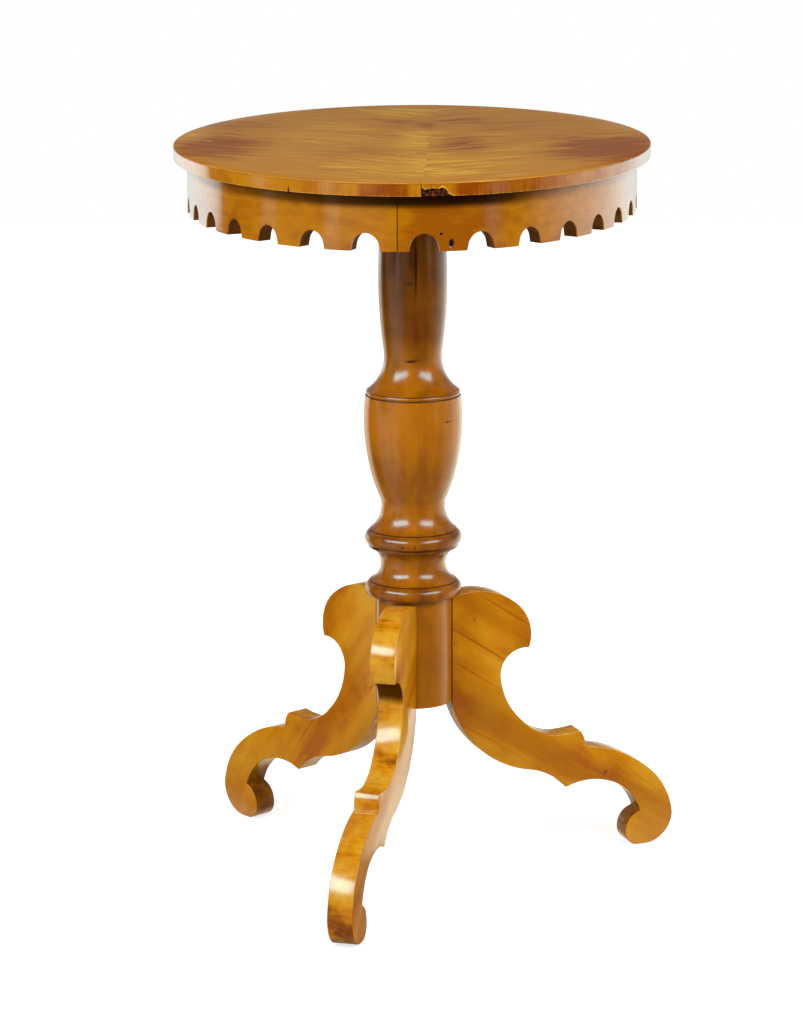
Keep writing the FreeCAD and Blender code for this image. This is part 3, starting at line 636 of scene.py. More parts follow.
def ramp(tree, value, stops, interpolation="LINEAR"):
    """A colour ramp through (place, colour) stops."""
    node = shader(tree, "ValToRGB")
    node.color_ramp.interpolation = interpolation
    elements = node.color_ramp.elements
    for index, (place, colour) in enumerate(stops):
        element = elements[index] if index < 2 else elements.new(place)
        element.position = place
        element.color = (*colour, 1.0)
    feed(tree, node, Fac=value)
    return node.outputs[0]


def step(tree, value, low, high, from_value=0.0, to_value=1.0):
    """A smooth step of a value between two levels."""
    node = shader(tree, "MapRange", interpolation_type="SMOOTHSTEP")
    feed(tree, node, Value=value, From_Min=low, From_Max=high, To_Min=from_value, To_Max=to_value)
    return node.outputs[0]


def blended(tree, share, first, second, kind="MIX"):
    """A mix of two colours."""
    node = shader(tree, "Mix", data_type="RGBA", blend_type=kind)
    colours = [c if isinstance(c, bpy.types.NodeSocket) else (*c, 1.0) for c in (first, second)]
    feed(tree, node, s0=share, s6=colours[0], s7=colours[1])
    return node.outputs[2]


def stretched(tree, vector, scale, shift=(0.0, 0.0, 0.0)):
    """A place stretched by a scale along each axis."""
    node = shader(tree, "Mapping")
    return feed(tree, node, Vector=vector, Scale=scale, Location=shift).outputs[0]


def cloud(tree, place, scale, shift=(0.0, 0.0, 0.0), detail=3.0, roughness=0.55, distortion=0.0):
    """Noise from 0 to 1 on a stretched place, about one unit across there."""
    node = shader(tree, "TexNoise", noise_dimensions="3D")
    place = stretched(tree, place, scale, shift)
    feed(tree, node, Vector=place, Scale=1.0, Detail=detail, Roughness=roughness, Distortion=distortion)
    return node.outputs[0]


def own_axes(tree, turn_z, tilt=0.0):
    """Object coordinates seen from axes turned about Z and then tilted about Y."""
    turned = feed(tree, shader(tree, "Mapping"), Vector=object_place(tree), Rotation=(0.0, 0.0, -turn_z))
    return feed(tree, shader(tree, "Mapping"), Vector=turned.outputs[0], Rotation=(0.0, tilt, 0.0)).outputs[0]


def darker(colour, share):
    """A colour made darker by a share, as plain numbers."""
    return tuple(part * share for part in colour)


def polished(name, build, roughness=0.45, coat=1.0, coat_roughness=0.08, specular=0.0):
    """A polished wood: build(tree) gives its colour, the height of its grain, the waves of the polish and,
    where the polish is dulled under painted shade, the share of it that is left."""
    material = bpy.data.materials.new(name)
    material.use_nodes = True
    tree = material.node_tree
    surface = tree.nodes["Principled BSDF"]
    colour, height, waves, *left = build(tree)
    if left:
        coat = times(tree, left[0], coat)
    feed(tree, surface, Base_Color=colour, Roughness=roughness, Coat_Weight=coat,
         Coat_Roughness=coat_roughness, Specular_IOR_Level=specular)
    bump = feed(tree, shader(tree, "Bump"), Height=height, Distance=GRAIN_RELIEF, Strength=0.5)
    feed(tree, surface, Normal=bump.outputs[0])
    if waves is not None:
        bump = feed(tree, shader(tree, "Bump"), Height=waves, Distance=WAVE_RELIEF, Strength=0.6)
        feed(tree, surface, Coat_Normal=bump.outputs[0])
    return material


def ellipse_reach(tree, place, centre, half_sizes):
    """How far a place lies from the middle of an ellipse: 1 on its edge."""
    scale = [1 / half for half in half_sizes]
    shift = [-middle / half for middle, half in zip(centre, half_sizes)]
    return span(tree, stretched(tree, place, (*scale, 0.0), (*shift, 0.0)))


def marked(tree, place, spots, colour, paint, soft=0.45):
    """Lays small ellipses with ragged soft edges over a colour: each a place, two half
    sizes and, where it is faint, a strength."""
    for spot in spots:
        away = ellipse_reach(tree, place, spot[:2], spot[2:4])
        ragged = cloud(tree, place, (900.0, 900.0, 1.0), detail=2.0)
        share = step(tree, times_plus(tree, ragged, 0.8, away), 1.4 - soft, 1.4 + soft, 1.0, 0.0)
        if len(spot) > 4:
            share = times(tree, share, spot[4])
        colour = blended(tree, share, colour, paint)
    return colour


def zone(tree, value, low, high, ease):
    """1 between two levels of a value, easing to 0 on both sides."""
    rise = step(tree, value, low - ease, low + ease)
    fall = step(tree, value, high - ease, high + ease, 1.0, 0.0)
    return times(tree, rise, fall)


def fibres(tree, place, fine, along):
    """Fine fibres that run along the first axis."""
    return cloud(tree, place, (along, fine, fine), detail=4.0, roughness=0.65)


def leveled(tree, value, table):
    """A number read from a table of (value, number) pairs, straight between them."""
    low, high = table[0][0], table[-1][0]
    share = times_plus(tree, value, 1 / (high - low), -low / (high - low))
    return ramp(tree, share, [((at - low) / (high - low), (number,) * 3) for at, number in table])


def leg_face(tree, colours, place, shift, streaks):
    """Colour and fibres of a leg's board: soft grain, a few broad dark bands and thin
    lines along it, and the board's own streaks and knots."""
    soft = cloud(tree, place, (5.0, 20.0, 26.0), (shift, 0.0, 0.0), roughness=0.5)
    blotch = cloud(tree, place, (20.0, 24.0, 24.0), (0.0, shift, 0.0), detail=4.0, roughness=0.6)
    fine = fibres(tree, place, 380.0, 16.0)
    mix = weighed(tree, (soft, 0.52), (blotch, 0.38), (fine, 0.10))
    colour = ramp(tree, mix, [(0.40, colours.leg_dark), (0.50, colours.leg_mid), (0.60, colours.leg_pale)])
    bands = cloud(tree, place, (1.3, 7.0, 20.0), (shift, 5.0, 0.0), detail=2.0, roughness=0.5)
    broad = step(tree, times_plus(tree, blotch, 0.25, bands), 0.64, 0.76, 0.0, 0.32)
    colour = blended(tree, broad, colour, colours.leg_scuff_and_shade)
    line = times(tree, zone(tree, bands, 0.470, 0.473, 0.003), step(tree, blotch, 0.40, 0.60, 0.15, 0.80))
    colour = blended(tree, line, colour, colours.leg_scuff_and_shade)
    along, _, across = axes_of(tree, place)
    face = feed(tree, shader(tree, "CombineXYZ"), X=along, Y=across).outputs[0]
    return marked(tree, face, streaks, colour, colours.leg_scuff_and_shade), fine


def leg_sawn_edge(tree, colours, place, shift, level):
    """Colour of a leg's sawn edges: pale and blotched, scuffed dark at the foot."""
    worn = cloud(tree, place, (34.0, 34.0, 48.0), (0.0, shift, 2.0), detail=5.0, roughness=0.65)
    cross = cloud(tree, place, (260.0, 12.0, 40.0), (0.0, shift, 4.0))
    worn = times_plus(tree, minus(tree, cross, 0.5), 0.35, worn)
    low = step(tree, level, *FOOT_SCUFF, 0.14, 0.0)
    return ramp(tree, minus(tree, worn, low), [
        (0.26, colours.leg_scuff_and_shade), (0.42, colours.leg_mid), (0.60, colours.leg_edge)])


def leg_wood(colours, stand, name, angle):
    """Sawn birch whose grain runs down and out along the leg, with blotched sawn edges, painted shade in the
    hollows of its sawn edges, where the polish is also dulled, and a dark line at the joint with the hub."""
    def build(tree):
        fall, streaks = LEG_GRAIN[name]
        shift = angle * 2
        place = own_axes(tree, angle, -math.radians(fall))
        out, side, level = axes_of(tree, own_axes(tree, angle))
        colour, fine = leg_face(tree, colours, place, shift, streaks)
        half = stand.leg_thickness / 2
        edge = step(tree, maths(tree, "ABSOLUTE", side), half - stand.arris * 0.6, half, 1.0, 0.0)
        sawn = leg_sawn_edge(tree, colours, place, shift, level)
        colour = blended(tree, times(tree, edge, 0.85), colour, sawn)
        left = 1.0
        height = stand.hub_top - stand.leg_gap
        # Painted shade in the hollows of the sawn edges, in a darkened scuff colour; it also dulls the polish
        # there
        for reach, bottom, top, strength in LEG_HOLLOWS:
            far = stand.hub + reach * stand.leg_reach
            hollow_shade = step(tree, out, far - HOLLOW_EASE, far + HOLLOW_PAST, strength, 0.0)
            tall = zone(tree, level, bottom * height, top * height, HOLLOW_EASE)
            hollow_shade = times(tree, hollow_shade, tall)
            hollow_shade = times(tree, hollow_shade, edge)
            colour = blended(tree, hollow_shade, colour, darker(colours.leg_scuff_and_shade, 0.25))
            left = maths(tree, "SUBTRACT", left, hollow_shade, clamp=True)
        radius = span(tree, stretched(tree, object_place(tree), (1.0, 1.0, 0.0)))
        full, end = HUB_LINE
        joint = step(tree, radius, stand.hub + full, stand.hub + end, 0.85, 0.0)
        colour = blended(tree, joint, colour, colours.stain_and_shade)
        knot = cloud(tree, place, (60.0, 150.0, 150.0), (shift, 7.0, 0.0), detail=1.0)
        colour = blended(tree, step(tree, knot, 0.76, 0.84, 0.0, 0.7), colour, colours.stain_and_shade)
        return colour, fine, cloud(tree, place, (26.0, 40.0, 40.0), detail=2.0), left
    return polished("sawn birch " + name, build, coat_roughness=0.17)


def column_wood(colours):
    """Turned birch, darker on the shaft and under its beads with painted shade, with fine turning rings, dark
    lines in its grooves and a few old marks."""
    def build(tree):
        place = object_place(tree)
        level = axes_of(tree, place)[2]
        patch = cloud(tree, place, (26.0, 26.0, 20.0), detail=4.0, roughness=0.6)
        rings = cloud(tree, place, (7.0, 7.0, 420.0))
        upright = cloud(tree, place, (75.0, 75.0, 3.0))
        ringed = times(tree, minus(tree, rings, 0.5), leveled(tree, level, COLUMN_RINGS))
        loose = times_plus(tree, patch, 1.30, times_plus(tree, upright, 1.30, ringed))
        # The level table paints shade as well as tone: the shaft under the top and bands under the beads
        tone = plus(tree, leveled(tree, level, COLUMN_TONE_AND_SHADE), minus(tree, loose, 1.32))
        colour = ramp(tree, tone, [(0.0, colours.column_dark), (1.0, colours.column_pale)])
        for groove in COLUMN_GROOVES:
            line = zone(tree, level, groove - GROOVE_HALF, groove + GROOVE_HALF, GROOVE_EASE)
            colour = blended(tree, times(tree, line, 0.8), colour, colours.stain_and_shade)
        marks = [(math.radians(bearing) * MARK_RADIUS, *rest) for bearing, *rest in COLUMN_MARKS]
        colour = marked(tree, surface_place(tree), marks, colour, colours.stain_and_shade)
        return colour, rings, cloud(tree, place, (9.0, 9.0, 30.0), detail=1.0)
    return polished("turned birch", build, coat=0.95, coat_roughness=0.21)


def top_wood(colours, top, side):
    """Flamed birch: streaks of figure that rise from the seam on both sides, over dark
    and golden patches."""
    def build(tree):
        place = own_axes(tree, top.long_axis)
        along, across, _ = axes_of(tree, place)
        from_seam = maths(tree, "ABSOLUTE", minus(tree, across, top.seam))
        bow = cloud(tree, place, (7.0, 7.0, 1.0), (side, 2.0, 0.0), detail=2.0)
        row = times_plus(tree, from_seam, FIGURE_SLOPE, times_plus(tree, bow, 0.06, along))
        figure = feed(tree, shader(tree, "CombineXYZ"), X=row, Y=from_seam, Z=side * 0.3).outputs[0]
        flame = cloud(tree, figure, (85.0, 13.0, 1.0), roughness=0.6)
        dash = cloud(tree, figure, (220.0, 20.0, 2.0), roughness=0.6)
        ragged = cloud(tree, figure, (42.0, 20.0, 3.0), detail=4.0, roughness=0.6)
        tone = 0.0
        for over, ahead, half_width, half_length, strength in TOP_PATCHES:
            away = ellipse_reach(tree, place, (ahead, over), (half_length, half_width))
            inside = step(tree, times_plus(tree, ragged, 2.4, away), 1.5, 2.9, 1.0, 0.0)
            tone = times_plus(tree, inside, strength * 0.16, tone)
        lively = step(tree, from_seam, *FIGURE_FALL)
        mix = weighed(tree, (flame, 0.55), (dash, 0.45))
        mix = plus(tree, times_plus(tree, minus(tree, mix, 0.5), lively, 0.49), tone)
        colour = ramp(tree, mix, [(0.32, colours.top_dark), (0.47, colours.top_mid), (0.53, colours.top_mid),
                                  (0.62, colours.top_pale), (0.76, colours.top_streak)])
        return colour, fibres(tree, place, 500.0, 25.0), None
    return polished("flamed birch %d" % side, build, coat=0.24, coat_roughness=0.12)


def band_wood(colours, top):
    """Cross-banded birch: short upright grain, dark lengths beside the seam and the
    chip, torn pale fibres at the chip, a dark line under the veneer, a worn foot, a nick
    and an open joint."""
    def build(tree):
        place = surface_place(tree)
        around, level, _ = axes_of(tree, place)
        cloudy = cloud(tree, place, (34.0, 30.0, 1.0), (0.3, 0.0, 0.0))
        fine = cloud(tree, place, (520.0, 40.0, 1.0), detail=4.0)
        hairs = cloud(tree, place, (1100.0, 30.0, 1.0), detail=2.0)
        dark = 0.0
        for first, last, ease, strength in BAND_DARK:
            dark = times_plus(tree, zone(tree, around, first, last, ease), strength, dark)
        mix = minus(tree, weighed(tree, (fine, 0.16), (cloudy, 0.42)), times(tree, dark, 0.17))
        colour = ramp(tree, mix, [(0.11, colours.band_dark), (0.33, colours.band_pale)])
        lines = times(tree, step(tree, hairs, 0.62, 0.72, 0.0, 0.5), plus(tree, dark, 0.10))
        colour = blended(tree, lines, colour, darker(colours.band_dark, 0.35))
        torn = shader(tree, "Attribute", attribute_name="torn").outputs["Fac"]
        ragged = cloud(tree, place, (800.0, 900.0, 1.0))
        torn = step(tree, times_plus(tree, ragged, 1.5, torn), 1.05, 1.35)
        colour = blended(tree, torn, colour, colours.fresh)
        crest, foot = top.level - top.veneer, top.level - top.thickness
        full, end = BAND_LINE
        under = step(tree, level, crest - end, crest - full, 0.0, 0.45)
        colour = blended(tree, under, colour, colours.band_dark)
        worn = step(tree, level, foot + full, foot + end, 1.0, 0.0)
        worn = times(tree, worn, step(tree, fine, 0.42, 0.60, 0.1, 0.5))
        colour = blended(tree, worn, colour, colours.fresh)
        colour = marked(tree, place, (RIM_NICK, RIM_CRACK), colour, colours.stain_and_shade, 0.3)
        return colour, fine, cloud(tree, place, (30.0, 12.0, 1.0), detail=2.0)
    return polished("rim birch", build, coat_roughness=0.12)


def frieze_wood(colours, top):
    """Frieze birch with level grain, darker right of the front joint, with painted shade under the rim where
    its polish is also dulled, and with dark lines at its joints and two holes."""
    def build(tree):
        place = surface_place(tree)
        around, level, _ = axes_of(tree, place)
        patch = cloud(tree, place, (12.0, 22.0, 1.0), (1.3, 0.0, 0.0), detail=4.0, distortion=0.6)
        mottled = cloud(tree, place, (55.0, 120.0, 1.0), (0.0, 2.0, 0.0))
        fine = cloud(tree, place, (16.0, 420.0, 1.0), detail=4.0)
        dark = zone(tree, around, *FRIEZE_DARK)
        mix = weighed(tree, (fine, 0.15), (patch, 0.55), (mottled, 0.30))
        mix = minus(tree, mix, times(tree, dark, 0.13))
        colour = ramp(tree, mix, [(0.36, colours.frieze_dark), (0.54, colours.frieze_pale)])
        half_round = Oval(top, top.overhang).round / 2
        under = top.level - top.thickness
        # Painted shade on the frieze under the rim, by distance round and by level; it also dulls the polish
        # there
        rim_shade = leveled(tree, maths(tree, "WRAP", around, half_round, -half_round), FRIEZE_RIM_SHADE)
        start, full = RIM_SHADE_FALL
        rim_shade = times(tree, step(tree, level, under - start, under - full), rim_shade)
        colour = blended(tree, rim_shade, colour, colours.stain_and_shade)
        joint = minus(tree, around, (top.phase - top.joint) * 2 * half_round / top.arches)
        joint = maths(tree, "PINGPONG", joint, half_round / FRIEZE_LEAVES)
        colour = blended(tree, step(tree, joint, *FRIEZE_LINE, 0.80, 0.0), colour, colours.stain_and_shade)
        colour = marked(tree, place, FRIEZE_HOLES, colour, colours.stain_and_shade, 0.3)
        return colour, fine, cloud(tree, place, (20.0, 8.0, 1.0), detail=2.0), minus(tree, 1.0, rim_shade)
    return polished("frieze birch", build, coat_roughness=0.12)


def raw_wood(name, colour, scale=(8.0, 120.0, 120.0), broken=None):
    """Unpolished wood with plain grain, and painted shade round a broken place, dark and splintered."""
    def build(tree):
        place = object_place(tree)
        grain = cloud(tree, place, scale, detail=5.0, roughness=0.6)
        shade = ramp(tree, grain, [(0.35, darker(colour, 0.55)), (0.65, colour)])
        if broken is None:
            return shade, grain, None
        centre, reach, first, second = broken
        distance = shader(tree, "VectorMath", operation="DISTANCE")
        away = feed(tree, distance, s0=place, s1=centre).outputs["Value"]
        splinter = cloud(tree, place, (380.0, 380.0, 380.0))
        rough = ramp(tree, splinter, [(0.50, first), (0.66, second)])
        return blended(tree, step(tree, away, reach, reach * 1.3, 1.0, 0.0), shade, rough), grain, None
    return polished(name, build, roughness=0.8, coat=0.0, specular=0.1)


def old_iron(colours):
    """Dull iron with brown patches."""
    def build(tree):
        patch = cloud(tree, object_place(tree), (300.0, 300.0, 300.0), detail=4.0)
        red, green, blue = colours.iron
        rust = (red, green * 0.6, blue * 0.4)
        return ramp(tree, patch, [(0.4, colours.iron), (0.7, rust)]), patch, None
    material = polished("old iron", build, roughness=0.5, coat=0.0, specular=0.5)
    material.node_tree.nodes["Principled BSDF"].inputs["Metallic"].default_value = 1.0
    return material


# Pieces

class TABLE_OT_column(bpy.types.Operator):
    """Turned column: the eased profile carried round the upright axis, with worn lines
    down the hub beside the legs"""
    bl_idname = "side_table.column"
    bl_label = "Turned column"

    def execute(self, context):
        stand, colours = context.scene.table_stand, context.scene.table_colours
        eye = context.scene.table_studio.eye
        profile = eased_line(COLUMN_PROFILE, stand.turning_arris / MM, PROFILE_STEP, False) * MM
        beside = math.asin((stand.leg_thickness / 2 + JOINT_GAP) / stand.hub)
        lines = [leg + side * beside for leg in (stand.front, stand.left, stand.right) for side in (-1, 1)]
        near = wrapped(np.concatenate([line + np.linspace(-JOINT_NEAR, JOINT_NEAR, 13) for line in lines]))
        even = np.linspace(-HALF_TURN, HALF_TURN, COLUMN_POINTS, endpoint=False)
        angles = np.unique(np.round(np.concatenate([even, near]), 5))
        bearing = wrapped(angles - math.atan2(eye[1], eye[0]))
        radius, level = profile[1:-1, :1], profile[1:-1, 1:]
        ring = np.broadcast_to(angles, (len(level), len(angles)))
        dip = sum(np.exp(-wrapped(ring - line) ** 2 / JOINT_TURN ** 2) for line in lines)
        on_hub = smooth(stand.hub_top, stand.hub_top - JOINT_FADE, level) * (radius > stand.hub - HUB_SLACK)
        radius = radius - stand.groove * dip * on_hub
        level = level + 0 * ring
        points = np.stack([radius * np.cos(ring), radius * np.sin(ring), level], axis=-1)
        places = np.stack([bearing * MARK_RADIUS + 0 * ring, level], axis=-1)
        ringed_piece("turned_column", points, 40.0, column_wood(colours), "column", places)
        return {"FINISHED"}


class TABLE_OT_legs(bpy.types.Operator):
    """Three sawn legs: the eased outline carried through the board's thickness"""
    bl_idname = "side_table.legs"
    bl_label = "Sawn legs"

    def execute(self, context):
        stand, colours = context.scene.table_stand, context.scene.table_colours
        half = stand.leg_thickness / 2
        flat = math.sqrt(stand.hub ** 2 - half ** 2)
        height = stand.hub_top - stand.leg_gap
        corners = [((flat + across * stand.leg_reach) / MM, up * height / MM, bow)
                   for across, up, bow in LEG_OUTLINE]
        line = eased_line(corners, LEG_EASE, OUTLINE_STEP, True) * MM
        way = np.roll(line, -1, axis=0) - np.roll(line, 1, axis=0)
        way /= np.linalg.norm(way, axis=1)[:, None]
        inward = np.stack([way[:, 1], -way[:, 0]], axis=1)
        quarter = np.linspace(0, math.pi / 2, ROUNDING_POINTS)
        inset = stand.arris * (1 - np.sin(quarter))
        side = half - stand.arris * (1 - np.cos(quarter))
        inset = np.concatenate([inset, inset[::-1]])[:, None, None]
        side = np.concatenate([side, -side[::-1]])[:, None]
        outline = line + inward * inset
        across, level = outline[..., 0], outline[..., 1]
        for name in ("front", "left", "right"):
            angle = getattr(stand, name)
            wood = leg_wood(colours, stand, name, angle)
            ringed_piece("sawn_leg_" + name, turned(across, side, level, angle), 30.0, wood,
                         "leg_" + name)
        return {"FINISHED"}


def seam_angle(top):
    """The oval's angle where the veneer's seam meets the rim."""
    return math.asin(top.seam / top.half_width)


class TABLE_OT_top(bpy.types.Operator):
    """Two leaves of veneer: straight lines from the seam to the oval, with an eased arris"""
    bl_idname = "side_table.top"
    bl_label = "Veneered top"

    def execute(self, context):
        top, colours = context.scene.table_top, context.scene.table_colours
        oval = Oval(top, 0.0)
        meet = seam_angle(top)
        seam_end = top.half_length * math.cos(meet)
        under = [0, 0, top.level - top.veneer]
        leaves = ((1, "right", meet, HALF_TURN - meet), (-1, "left", HALF_TURN - meet, FULL_TURN + meet))
        for side, name, first, last in leaves:
            angle = np.linspace(first, last, RIM_POINTS)
            rim = oval.place(oval.long * np.cos(angle), oval.short * np.sin(angle), 0.0)
            seam = oval.place(seam_end * np.cos(angle), top.seam, 0.0)
            inner = oval.spots(angle, top.arris, 0.0)
            rows = [seam + under]
            for share in np.linspace(0, 1, LEAF_ROWS):
                rows += [seam + (inner - seam) * share + [0, 0, top.level]]
            for rounding in np.linspace(0, math.pi / 2, ROUNDING_POINTS)[1:]:
                edge = [0, 0, top.level - top.arris * (1 - math.cos(rounding))]
                rows += [inner + (rim - inner) * math.sin(rounding) + edge]
            rows += [rim + under]
            wood = top_wood(colours, top, side)
            carried_piece("top_leaf_" + name, np.stack(rows), wood, "top_veneer_" + name)
        return {"FINISHED"}


def band_stations(top, chip, first, last):
    """Distances round the rim along a band, close set at the chip and the nick."""
    even = np.linspace(first + BAND_END, last - BAND_END, BAND_POINTS)
    at_chip = chip + np.linspace(0, top.chip_width * 1.1, CHIP_POINTS)
    at_nick = RIM_NICK[0] + np.linspace(-0.004, 0.004, 21)
    near = np.concatenate([at_chip, at_nick])
    return np.unique(np.concatenate([even, near[(near > first) & (near < last)]]))


def chipped(top, distance, chip):
    """How far up the band is broken away, and how torn its wood is, from the chip's edge:
    a line through points, with a sum of sine waves added where it is broken."""
    share = (distance - chip) / top.chip_width
    edge = np.interp(share, *np.transpose(CHIP_EDGE), left=0, right=0)
    ragged = sum(rise * np.sin(share * waves + phase) for rise, waves, phase in CHIP_WAVES)
    broken = top.chip_height * np.clip(edge + ragged * (edge > 0.05), 0, 1)
    torn = TORN_LEAST + (1 - TORN_LEAST) * smooth(*TORN_RISE, share)
    return broken, torn * smooth(*TORN_END, share)


def nicked(distance):
    """How far up the band is nicked: a smooth hump over the nick's width."""
    middle, _, half_width, half_height = RIM_NICK
    return 2 * half_height * smooth(half_width, 0, np.abs(distance - middle)), 0 * distance


class TABLE_OT_bands(bpy.types.Operator):
    """Edge bands: a thin section carried along the oval, its lower edge broken by the chip"""
    bl_idname = "side_table.bands"
    bl_label = "Edge bands"

    def execute(self, context):
        top, colours = context.scene.table_top, context.scene.table_colours
        oval = Oval(top, 0.0)
        meet = seam_angle(top)
        start, other = oval.distance(meet), oval.distance(HALF_TURN - meet)
        wood = band_wood(colours, top)
        quarter = np.linspace(0, math.pi / 2, 4)
        depths = np.append(BAND_EASE * (1 - np.sin(quarter)), np.zeros(len(TORN_LIFTS)))
        lifts = np.append(BAND_EASE * (1 - np.cos(quarter)), TORN_LIFTS)
        for name, first, last in (("right", start, other), ("left", other - oval.round, start)):
            distance = band_stations(top, start, first, last)
            broken, torn = chipped(top, distance, start) if name == "right" else nicked(distance)
            bottom = top.level - top.thickness + broken
            crest = top.level - top.veneer + 0 * distance
            section = [(depth, bottom + lift, torn * (1 - lift / TORN_LIFTS[-1]))
                       for depth, lift in zip(depths, lifts)]
            section += [(0.0, crest, 0 * torn), (top.band, crest, 0 * torn), (top.band, bottom, torn)]
            depth, level, fibre = zip(*section)
            angle = oval.parameter(distance)
            points = np.stack([oval.spots(angle, inward, here) for inward, here in zip(depth, level)])
            places = np.stack([distance + 0 * np.stack(level), np.stack(level)], axis=-1)
            carried_piece("rim_band_" + name, points, wood, "top_edge_band_" + name,
                          places, {"torn": np.stack(fibre)})
        return {"FINISHED"}


def arch_line(top):
    """Half an arch as distance from its middle and height, from the crown to the foot."""
    half, spring = top.arch_width / 2, top.arch_width / 2 - top.arch_splay
    crown = arc_points((0.0, top.arch_height), (spring, top.arch_foot), ARCH_BOW, np.linspace(0, 1, 15))
    return np.concatenate([crown, [[half, 0.0]]])


def frieze_stations(top, oval, first, last):
    """Distances round the frieze, close set on the arches, and the height of the saw
    cut at each: the arch's line repeated at every pitch."""
    line = arch_line(top)
    pitch = oval.round / top.arches
    before, after = np.array([-top.joint, -ARCH_SIDE]) * pitch, [ARCH_SIDE * pitch]
    offsets = np.concatenate([before, -line[::-1, 0], line[1:, 0], after])
    heights = np.concatenate([[0, 0], line[::-1, 1], line[1:, 1], [0]])
    count = int(round(last - first))
    middles = (first + top.joint + np.arange(count)) * pitch
    distance = np.append((middles[:, None] + offsets[None]).ravel(), last * pitch)
    height = np.append(np.broadcast_to(heights, (count, len(heights))).ravel(), 0.0)
    spread = np.linspace(-HOLE_SPREAD, HOLE_SPREAD, 13)
    near = np.concatenate([hole[0] + spread * hole[2] for hole in FRIEZE_HOLES])
    near = near[(near > distance[0]) & (near < distance[-1])]
    every = np.unique(np.concatenate([distance, near]))
    return every, np.interp(every, distance, height)


def frieze_run(top, count, number, outer, inner, crest, shares, ease=0.0, hole_depth=0.0):
    """Points of one of so many equal lengths of the frieze, between two depths and up to
    the crest: its section, eased at the saw cut and dented at the holes, is carried
    along the oval. shares are the levels of its outer face."""
    oval = Oval(top, top.overhang)
    foot = top.level - top.thickness - top.frieze
    begin, run = top.phase - top.joint, top.arches // count
    distance, cut = frieze_stations(top, oval, begin + number * run, begin + (number + 1) * run)
    section = [(outer + ease, cut)] if ease else []
    for share in shares:
        level = cut + ease + (crest - cut - ease) * share
        dent = np.zeros_like(distance)
        for middle, height, half_width, half_height in FRIEZE_HOLES:
            away = np.hypot((distance - middle) / half_width, (foot + level - height) / half_height)
            dent = np.maximum(dent, hole_depth * smooth(*HOLE_EDGE, away))
        section.append((outer + dent, level))
    section += [(inner, crest + 0 * cut), (inner, cut)]
    joint = np.zeros_like(distance)
    joint[0], joint[-1] = FRIEZE_JOINT_HALF, -FRIEZE_JOINT_HALF
    angle = oval.parameter(distance + joint)
    points = np.stack([oval.spots(angle, depth, foot + level) for depth, level in section])
    levels = foot + np.stack([level for _, level in section])
    return points, np.stack([distance + 0 * levels, levels], axis=-1)


class TABLE_OT_frieze(bpy.types.Operator):
    """Frieze veneer and its core: sections carried round the oval, cut by the row of arches"""
    bl_idname = "side_table.frieze"
    bl_label = "Arched frieze"

    def execute(self, context):
        top, colours = context.scene.table_top, context.scene.table_colours
        veneer, core = frieze_wood(colours, top), raw_wood("stained core", colours.reveal)
        plain = np.concatenate([np.linspace(0, 0.4, 9), [0.6, 0.8, 1.0]])
        dense = np.linspace(0.04, 0.34, 31)
        for number in range(FRIEZE_LEAVES):
            shares = plain if number else np.unique(np.concatenate([plain, dense]))
            points, places = frieze_run(top, FRIEZE_LEAVES, number, 0.0, top.skin, top.frieze,
                                        shares, SKIN_EASE, HOLE_DEPTH)
            label = "_%d" % (number + 1)
            carried_piece("frieze_skin" + label, points, veneer, "frieze_veneer" + label,
                          places)
        for number in range(FRIEZE_BLOCKS):
            points, places = frieze_run(top, FRIEZE_BLOCKS, number, top.skin + GLUE_LINE, top.wall,
                                        top.course, (0.0, 1.0))
            label = "_%d" % (number + 1)
            carried_piece("frieze_core" + label, points, core, "frieze_lower_block" + label,
                          places)
        return {"FINISHED"}


class TABLE_OT_hidden(bpy.types.Operator):
    """Woods and iron of the solid pieces that stay as they are"""
    bl_idname = "side_table.hidden"
    bl_label = "Inner pieces"

    def execute(self, context):
        top, colours = context.scene.table_top, context.scene.table_colours
        oval = Oval(top, 0.0)
        chip = oval.distance(seam_angle(top)) + top.chip_width / 2
        middle = oval.spots(oval.parameter(chip), 0.0, top.level - top.thickness)
        # Painted shade in the chip's hollow: the board round it dark and splintered
        broken = (tuple(middle), top.chip_width * 0.7, colours.stain_and_shade, darker(colours.band_dark, 0.8))
        boards = raw_wood("broken pine", colours.pine, broken=broken)
        chosen = {
            "core_softwood": raw_wood("raw pine", colours.pine),
            "bearer_wood": raw_wood("raw birch", darker(colours.pine, 0.8), (120.0, 8.0, 120.0)),
            "column_wood": raw_wood("wedge birch", colours.column_pale, (120.0, 120.0, 8.0)),
            "screw_steel": old_iron(colours),
        }
        slots = {row["node"]: row["material_slot"] for row in frame["record"]["subparts"]}
        for name, node in frame["nodes"].items():
            if slots[name] in chosen and name != "column":
                node.data.materials.clear()
                node.data.materials.append(boards if name.startswith("top_board") else chosen[slots[name]])
        return {"FINISHED"}


# Studio

def mirrored_room(tree, across, along, front, table):
    """Brightness of the white room that the polish mirrors, by the bearing from the
    camera's side, from a place or direction on the level."""
    cosine, sine = math.cos(front), math.sin(front)
    ahead = weighed(tree, (across, cosine), (along, sine))
    aside = weighed(tree, (across, -sine), (along, cosine))
    bearing = times(tree, maths(tree, "ARCTAN2", aside, ahead), math.degrees(1))
    stops = [(degrees, bright / MIRROR_TOP) for degrees, bright in table]
    return times(tree, leveled(tree, bearing, stops), MIRROR_TOP)


def seen_plainly(tree, rays):
    """1 for what the camera sees, straight or through something clear."""
    return maths(tree, "MAXIMUM", rays["Is Camera Ray"], rays["Is Transmission Ray"])


